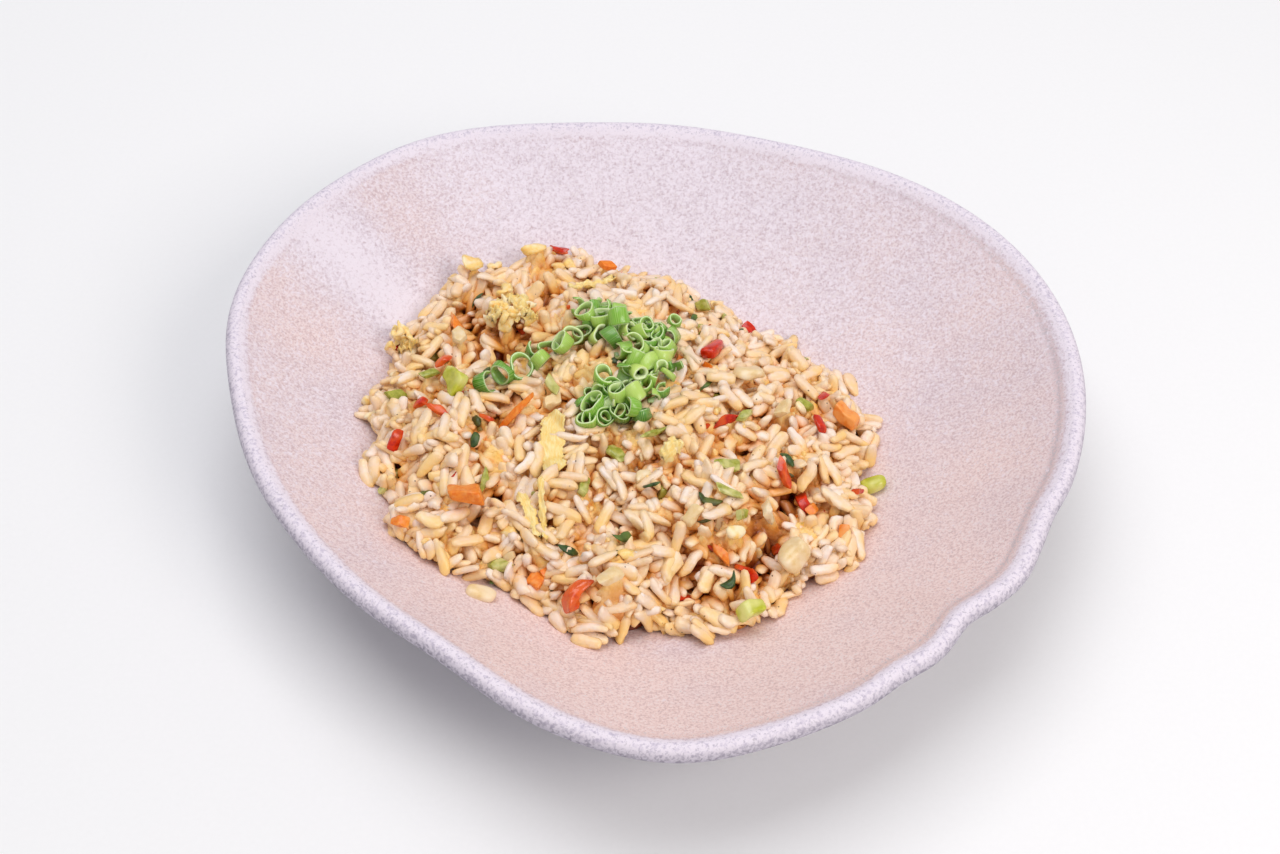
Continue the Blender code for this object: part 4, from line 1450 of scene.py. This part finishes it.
WHOLE_BELOW, OPENED_BELOW = 0.5, 0.8           # of fate, which is 0 to 1
A_FIFTH_OPEN, HALF_OPEN, TRAIL_OPEN = 1.3, 3.3, 2.6      # radians of the circle that are gone
RING_WAVER = 0.10
onion_leaf = spring_onion_leaf()
whole, strip = fate < WHOLE_BELOW, fate >= OPENED_BELOW
opened = ~whole & ~strip
make_tubes("spring_onion_rings", [ring_group(whole & ~on_trail, 0), inner_rings,
                                  ring_group(opened & ~on_trail, A_FIFTH_OPEN),
                                  ring_group(strip & ~on_trail, HALF_OPEN)],
           onion_leaf, "spring_onion", RING_WAVER, "spring_onion")
make_tubes("spring_onion_trail", [ring_group(whole & on_trail, 0),
                                  ring_group(~whole & on_trail, TRAIL_OPEN)],
           onion_leaf, "spring_onion", RING_WAVER, "spring_onion_tail")

# %% [markdown]
# ## Fried egg
#
# Beaten egg sets in thin sheets that tear as the rice is tossed. A torn sheet is a grid
# laid along a bent line: its height follows the draped cloth over the grains, with small
# folds of its own, its edge wanders like a torn one, and it is a millimetre thick. A curd
# is a sheet crumpled into curls, so it is a heap of ragged open tubes with a few small
# sheets folded over them. Set egg is pale yellow, soft and a little matt, with fibres
# along its length where it was pulled.

# %% Egg film
FILM_STATIONS, FILM_AROUND = 60, 28


def egg_film(name, node, middle_xy, size, turn, bend, lift, fold, tear, material):
    """A torn sheet of egg: rings of a thin section along a bent line over the pile.

    size is (length, width, thickness), and all lengths are in millimetres. turn is the
    way the sheet lies and bend how far it curves, both in degrees.
    Half-width = size/2 times a blunt-ended profile, times 1 plus a sum of sines (tear).
    Height = cloth under it + lift + folds, which are sines of the two lengths.
    """
    long_by, wide_by, thick = (value * MM for value in size)
    s = np.linspace(-1, 1, FILM_STATIONS + 2)[1:-1, None]
    phi = np.arange(FILM_AROUND) * 2 * np.pi / FILM_AROUND
    across = np.sign(np.cos(phi)) * np.abs(np.cos(phi)) ** 0.8
    face = np.sign(np.sin(phi)) * np.abs(np.sin(phi)) ** 0.7
    left = np.cos(phi) > 0
    torn = (np.sin(9 * s + 1) + 0.8 * np.sin(17 * s + 2 * left) + 0.6 * np.sin(31 * s + left)
            + 0.5 * np.sin(53 * s + 4 * left))
    half = (1 - np.abs(s) ** 5) ** 0.4 * (1 + tear * torn * np.abs(np.cos(phi)))
    off = across * half * wide_by / 2
    along = np.broadcast_to(s * long_by / 2, off.shape)
    if bend:
        radius = long_by / math.radians(bend)
        swing = along / radius
        along, off = (radius - off) * np.sin(swing), radius - (radius - off) * np.cos(swing)
    cos, sin = math.cos(math.radians(turn)), math.sin(math.radians(turn))
    x = middle_xy[0] * MM + along * cos - off * sin
    y = middle_xy[1] * MM + along * sin + off * cos
    ripple = fold * MM * (np.sin(5 * s + 2.5 * across) + 0.6 * np.sin(11 * s - 4 * across))
    z = height_at(cloth_field, x, y) + lift * MM + ripple + face * thick / 2 * (
        0.6 + 0.4 * np.sqrt(1 - np.abs(across) ** 3 * 0.9))
    rings = np.stack([x, y, z], -1)
    ends = rings[[0, -1]].mean(1)
    fibre = np.append(np.broadcast_to(across * wide_by / 2 / MM, x.shape), [0, 0])
    run = np.append(np.broadcast_to(s * long_by / 2 / MM, x.shape), [0, 0])
    thing = put_mesh(name, np.vstack([rings.reshape(-1, 3), ends]),
                     *ring_faces(FILM_STATIONS, FILM_AROUND), {"across": fibre, "run": run})
    return dress(thing, material, "egg", *([node] if node else []))


def set_egg_film():
    """Thin set egg: yellow to nearly white, with fibres about five times as long as wide."""
    material, tree, shader, place = start_material("set_egg_film")
    grain = add(tree, "CombineXYZ", X=number_of(tree, "across"), Y=plus(
        tree, 0.0, number_of(tree, "run"), 0.22)).outputs["Vector"]
    fibre = add(tree, "TexNoise", Vector=grain, Scale=1.6, Detail=3.0,
                Roughness=0.6).outputs["Fac"]
    cloud = noise(tree, place, 4.0, 2.0)
    base = ramp(tree, plus(tree, plus(tree, -0.25, fibre, 0.9), cloud, 0.6),
                (0.35, "F8CE74"), (0.55, "FCE098"), (0.8, "FFF0C4"))
    tree.links.new(base, shader.inputs["Base Color"])
    wet(shader, 0.42, 1.40, 0.35, 1.2, 0.15)
    bump(tree, shader, fibre, 0.5, 0.6)
    return material


egg_sheet = set_egg_film()
for row in (        # name, solid, middle, size, turn, bend, lift, fold, tear
        ("egg_ribbon_film", "egg_ribbon", (-29.5, -12.5), (24, 7.0, 0.9), -88, 25, 0.7, 0.35,
         0.10),
        ("egg_shred_film", "egg_shred", (-35.0, -38.0), (17, 3.2, 0.9), -66, -12, 0.9, 0.4,
         0.16),
        ("egg_shred_split", "", (-31.5, -37.0), (21, 1.9, 0.8), -84, 14, 1.2, 0.4, 0.2),
        ("egg_back_film", "egg_curd_back", (-18.5, 55.0), (17, 4.0, 0.9), 28, 30, 0.9, 0.8,
         0.16),
        ("egg_top_film", "", (6, -17), (9, 5, 0.9), 60, 30, 0.3, 0.5, 0.07)):
    egg_film(*row, egg_sheet)


# %% Egg curds
CURL_WAVER, CURL_OPEN, CURL_WIDE_OPEN = 0.22, 2.4, 4.0   # a share, and radians that are gone
FOLD_THICK, FOLD_HEIGHT, FOLD_TEAR = 0.9, 1.1, 0.14      # mm, mm and a share


def egg_curd(name, node, middle_xy, reach, curls, material):
    """A crumpled curd: ragged open tubes of egg, heaped within reach mm of a point."""
    way = rng.uniform(0, 2 * np.pi, curls)
    out = reach * MM * np.sqrt(rng.uniform(0, 1, curls))
    x = middle_xy[0] * MM + out * np.cos(way)
    y = middle_xy[1] * MM + out * np.sin(way) * 0.8
    radius = rng.uniform(1.7, 2.8, curls) * MM
    place = drop_rings(x, y, radius, 30)
    size = np.stack([radius, rng.uniform(1.6, 3.4, curls) * MM,
                     rng.uniform(1.2, 1.9, curls) * MM], -1)
    lean = tipped(curls, 75)
    first = np.arange(curls) < curls // 2
    make_tubes(name, [(place[first], lean[first], size[first], CURL_OPEN),
                      (place[~first], lean[~first], size[~first], CURL_WIDE_OPEN)],
               material, "egg", CURL_WAVER, node)


egg_curd("egg_curls", "egg_curd", (-43.5, 38.5), 6.0, 8, egg)
egg_curd("egg_curls_left", "egg_curd_left", (-78, 35), 3.5, 4, egg)
for number, (x, y, long_by, wide_by, turn, bend, lift) in enumerate((
        (-47.0, 42.5, 11, 5.0, 25, 60, 1.0), (-41.0, 41.5, 9, 5.5, -50, -80, 1.8),
        (-43.0, 36.5, 11, 4.5, 10, 90, 1.5), (-48.0, 37.5, 8, 4.5, 80, 40, 0.6),
        (-38.5, 36.5, 7, 4.0, -20, 60, 0.6), (-79.0, 37.0, 9, 4.5, -60, 70, 0.8),
        (-76.5, 33.0, 7, 4.0, 20, -60, 0.8))):
    egg_film("egg_fold_%d" % number, "", (x, y), (long_by, wide_by, FOLD_THICK), turn, bend,
             lift, FOLD_HEIGHT, FOLD_TEAR, egg_sheet)
print("egg and onion placed")

# %% [markdown]
# ## Between the grains
#
# Nobody sees the middle of the heap, so it is one closed core. Its top, though, shows
# everywhere between the loose grains: starch, egg and broken grains that hold them in
# clumps. So it lies a grain's width under the pile's own top, with relief as fine as
# crumbs, and it drops away in patches, which makes the deep gaps between the clumps.

# %% The core
CORE_AROUND, CORE_RINGS = 300, 96
CORE_INSET = 4.5 * MM         # from the heap's outline, so that grains hide its edge
CORE_OVER_DISH, CORE_LEAST = 0.3 * MM, 0.2 * MM          # gap under it, least thickness
SUNK_MM, SUNK_MORE_MM = 1.6, 6.5                         # in a clump, and more in a gap
core_angle = np.arange(CORE_AROUND) * 2 * np.pi / CORE_AROUND
core_reach = outline_at(HEAP_MIDDLE[0] + np.cos(core_angle),
                        HEAP_MIDDLE[1] + np.sin(core_angle)) - CORE_INSET
core_out = np.linspace(1, 0.01, CORE_RINGS)[:, None] ** 0.8 * core_reach
core_x = HEAP_MIDDLE[0] + core_out * np.cos(core_angle)
core_y = HEAP_MIDDLE[1] + core_out * np.sin(core_angle)


def rough(x, y, size_mm, waves_in=7):
    """A smooth random surface, about -1 to 1: sines of nearly one wavelength, any way."""
    way = rng.uniform(0, 2 * np.pi, waves_in)
    start = rng.uniform(0, 2 * np.pi, waves_in)
    size = size_mm * MM / (2 * np.pi) * rng.uniform(0.8, 1.3, waves_in)
    total = sum(np.sin((x * np.cos(w) + y * np.sin(w)) / r + p)
                for w, p, r in zip(way, start, size))
    return total / math.sqrt(waves_in)


clumped = np.clip(0.62 + 0.55 * rough(core_x, core_y, 17) + 0.25 * rough(core_x, core_y, 8),
                  0, 1)
sunk = SUNK_MM + SUNK_MORE_MM * (1 - clumped) ** 2
crumbs = 0.7 * rough(core_x, core_y, 3.6) + 0.5 * rough(core_x, core_y, 2.1)
local_field = smooth(pile_field, 2)
core_z = height_at(local_field, core_x, core_y) + (crumbs - sunk) * MM
under_z = height_at(floor_field, core_x, core_y) + CORE_OVER_DISH
core_z = np.maximum(core_z, under_z + CORE_LEAST)
core_rings = np.concatenate([np.stack([core_x, core_y, core_z], -1)[::-1],
                             np.stack([core_x, core_y, under_z], -1)])
core_ends = np.array([core_rings[0].mean(0), core_rings[-1].mean(0)])
core_points = np.vstack([core_rings.reshape(-1, 3), core_ends])
core = put_mesh("rice_core", core_points,
                *turned(*ring_faces(len(core_rings), CORE_AROUND)),
                {"deep": deep_under(core_points)})


def sticky_starch():
    """Starch, egg and crushed grains: cream and yolk yellow on top, painted shade of orange and
    brown below.
    """
    material, tree, shader, place = start_material("sticky_starch_and_egg")
    patch = noise(tree, place, 6.0, 3.0, 0.6)
    crumb = noise(tree, place, 1.4, 2.0, 0.6)
    base = ramp(tree, patch, (0.3, "FFDEA6"), (0.5, "FFD48C"), (0.7, "FAC664"))
    base = mix(tree, spread(tree, crumb, 0.45, 0.7, 0.0, 0.5), base, "F0B458")
    deep = number_of(tree, "deep")
    # Painted shade: orange, then brown, the deeper a point lies under the pile's sheet.
    base = mix(tree, spread(tree, deep, 3.0, 6.0, 0.0, 0.8), base, "DC8420")
    base = mix(tree, spread(tree, deep, 5.2, 9.0, 0.0, 0.97), base, "8C3402")
    tree.links.new(base, shader.inputs["Base Color"])
    wet(shader, 0.4, 1.45, 0.15, 1.6, 0.15, 0.3)
    bump(tree, shader, crumb, 0.8, 0.7)
    return material


dress(core, sticky_starch(), "fried_rice", "rice_heap")

# %% [markdown]
# ## Finish

# %% Finish
print("finished")
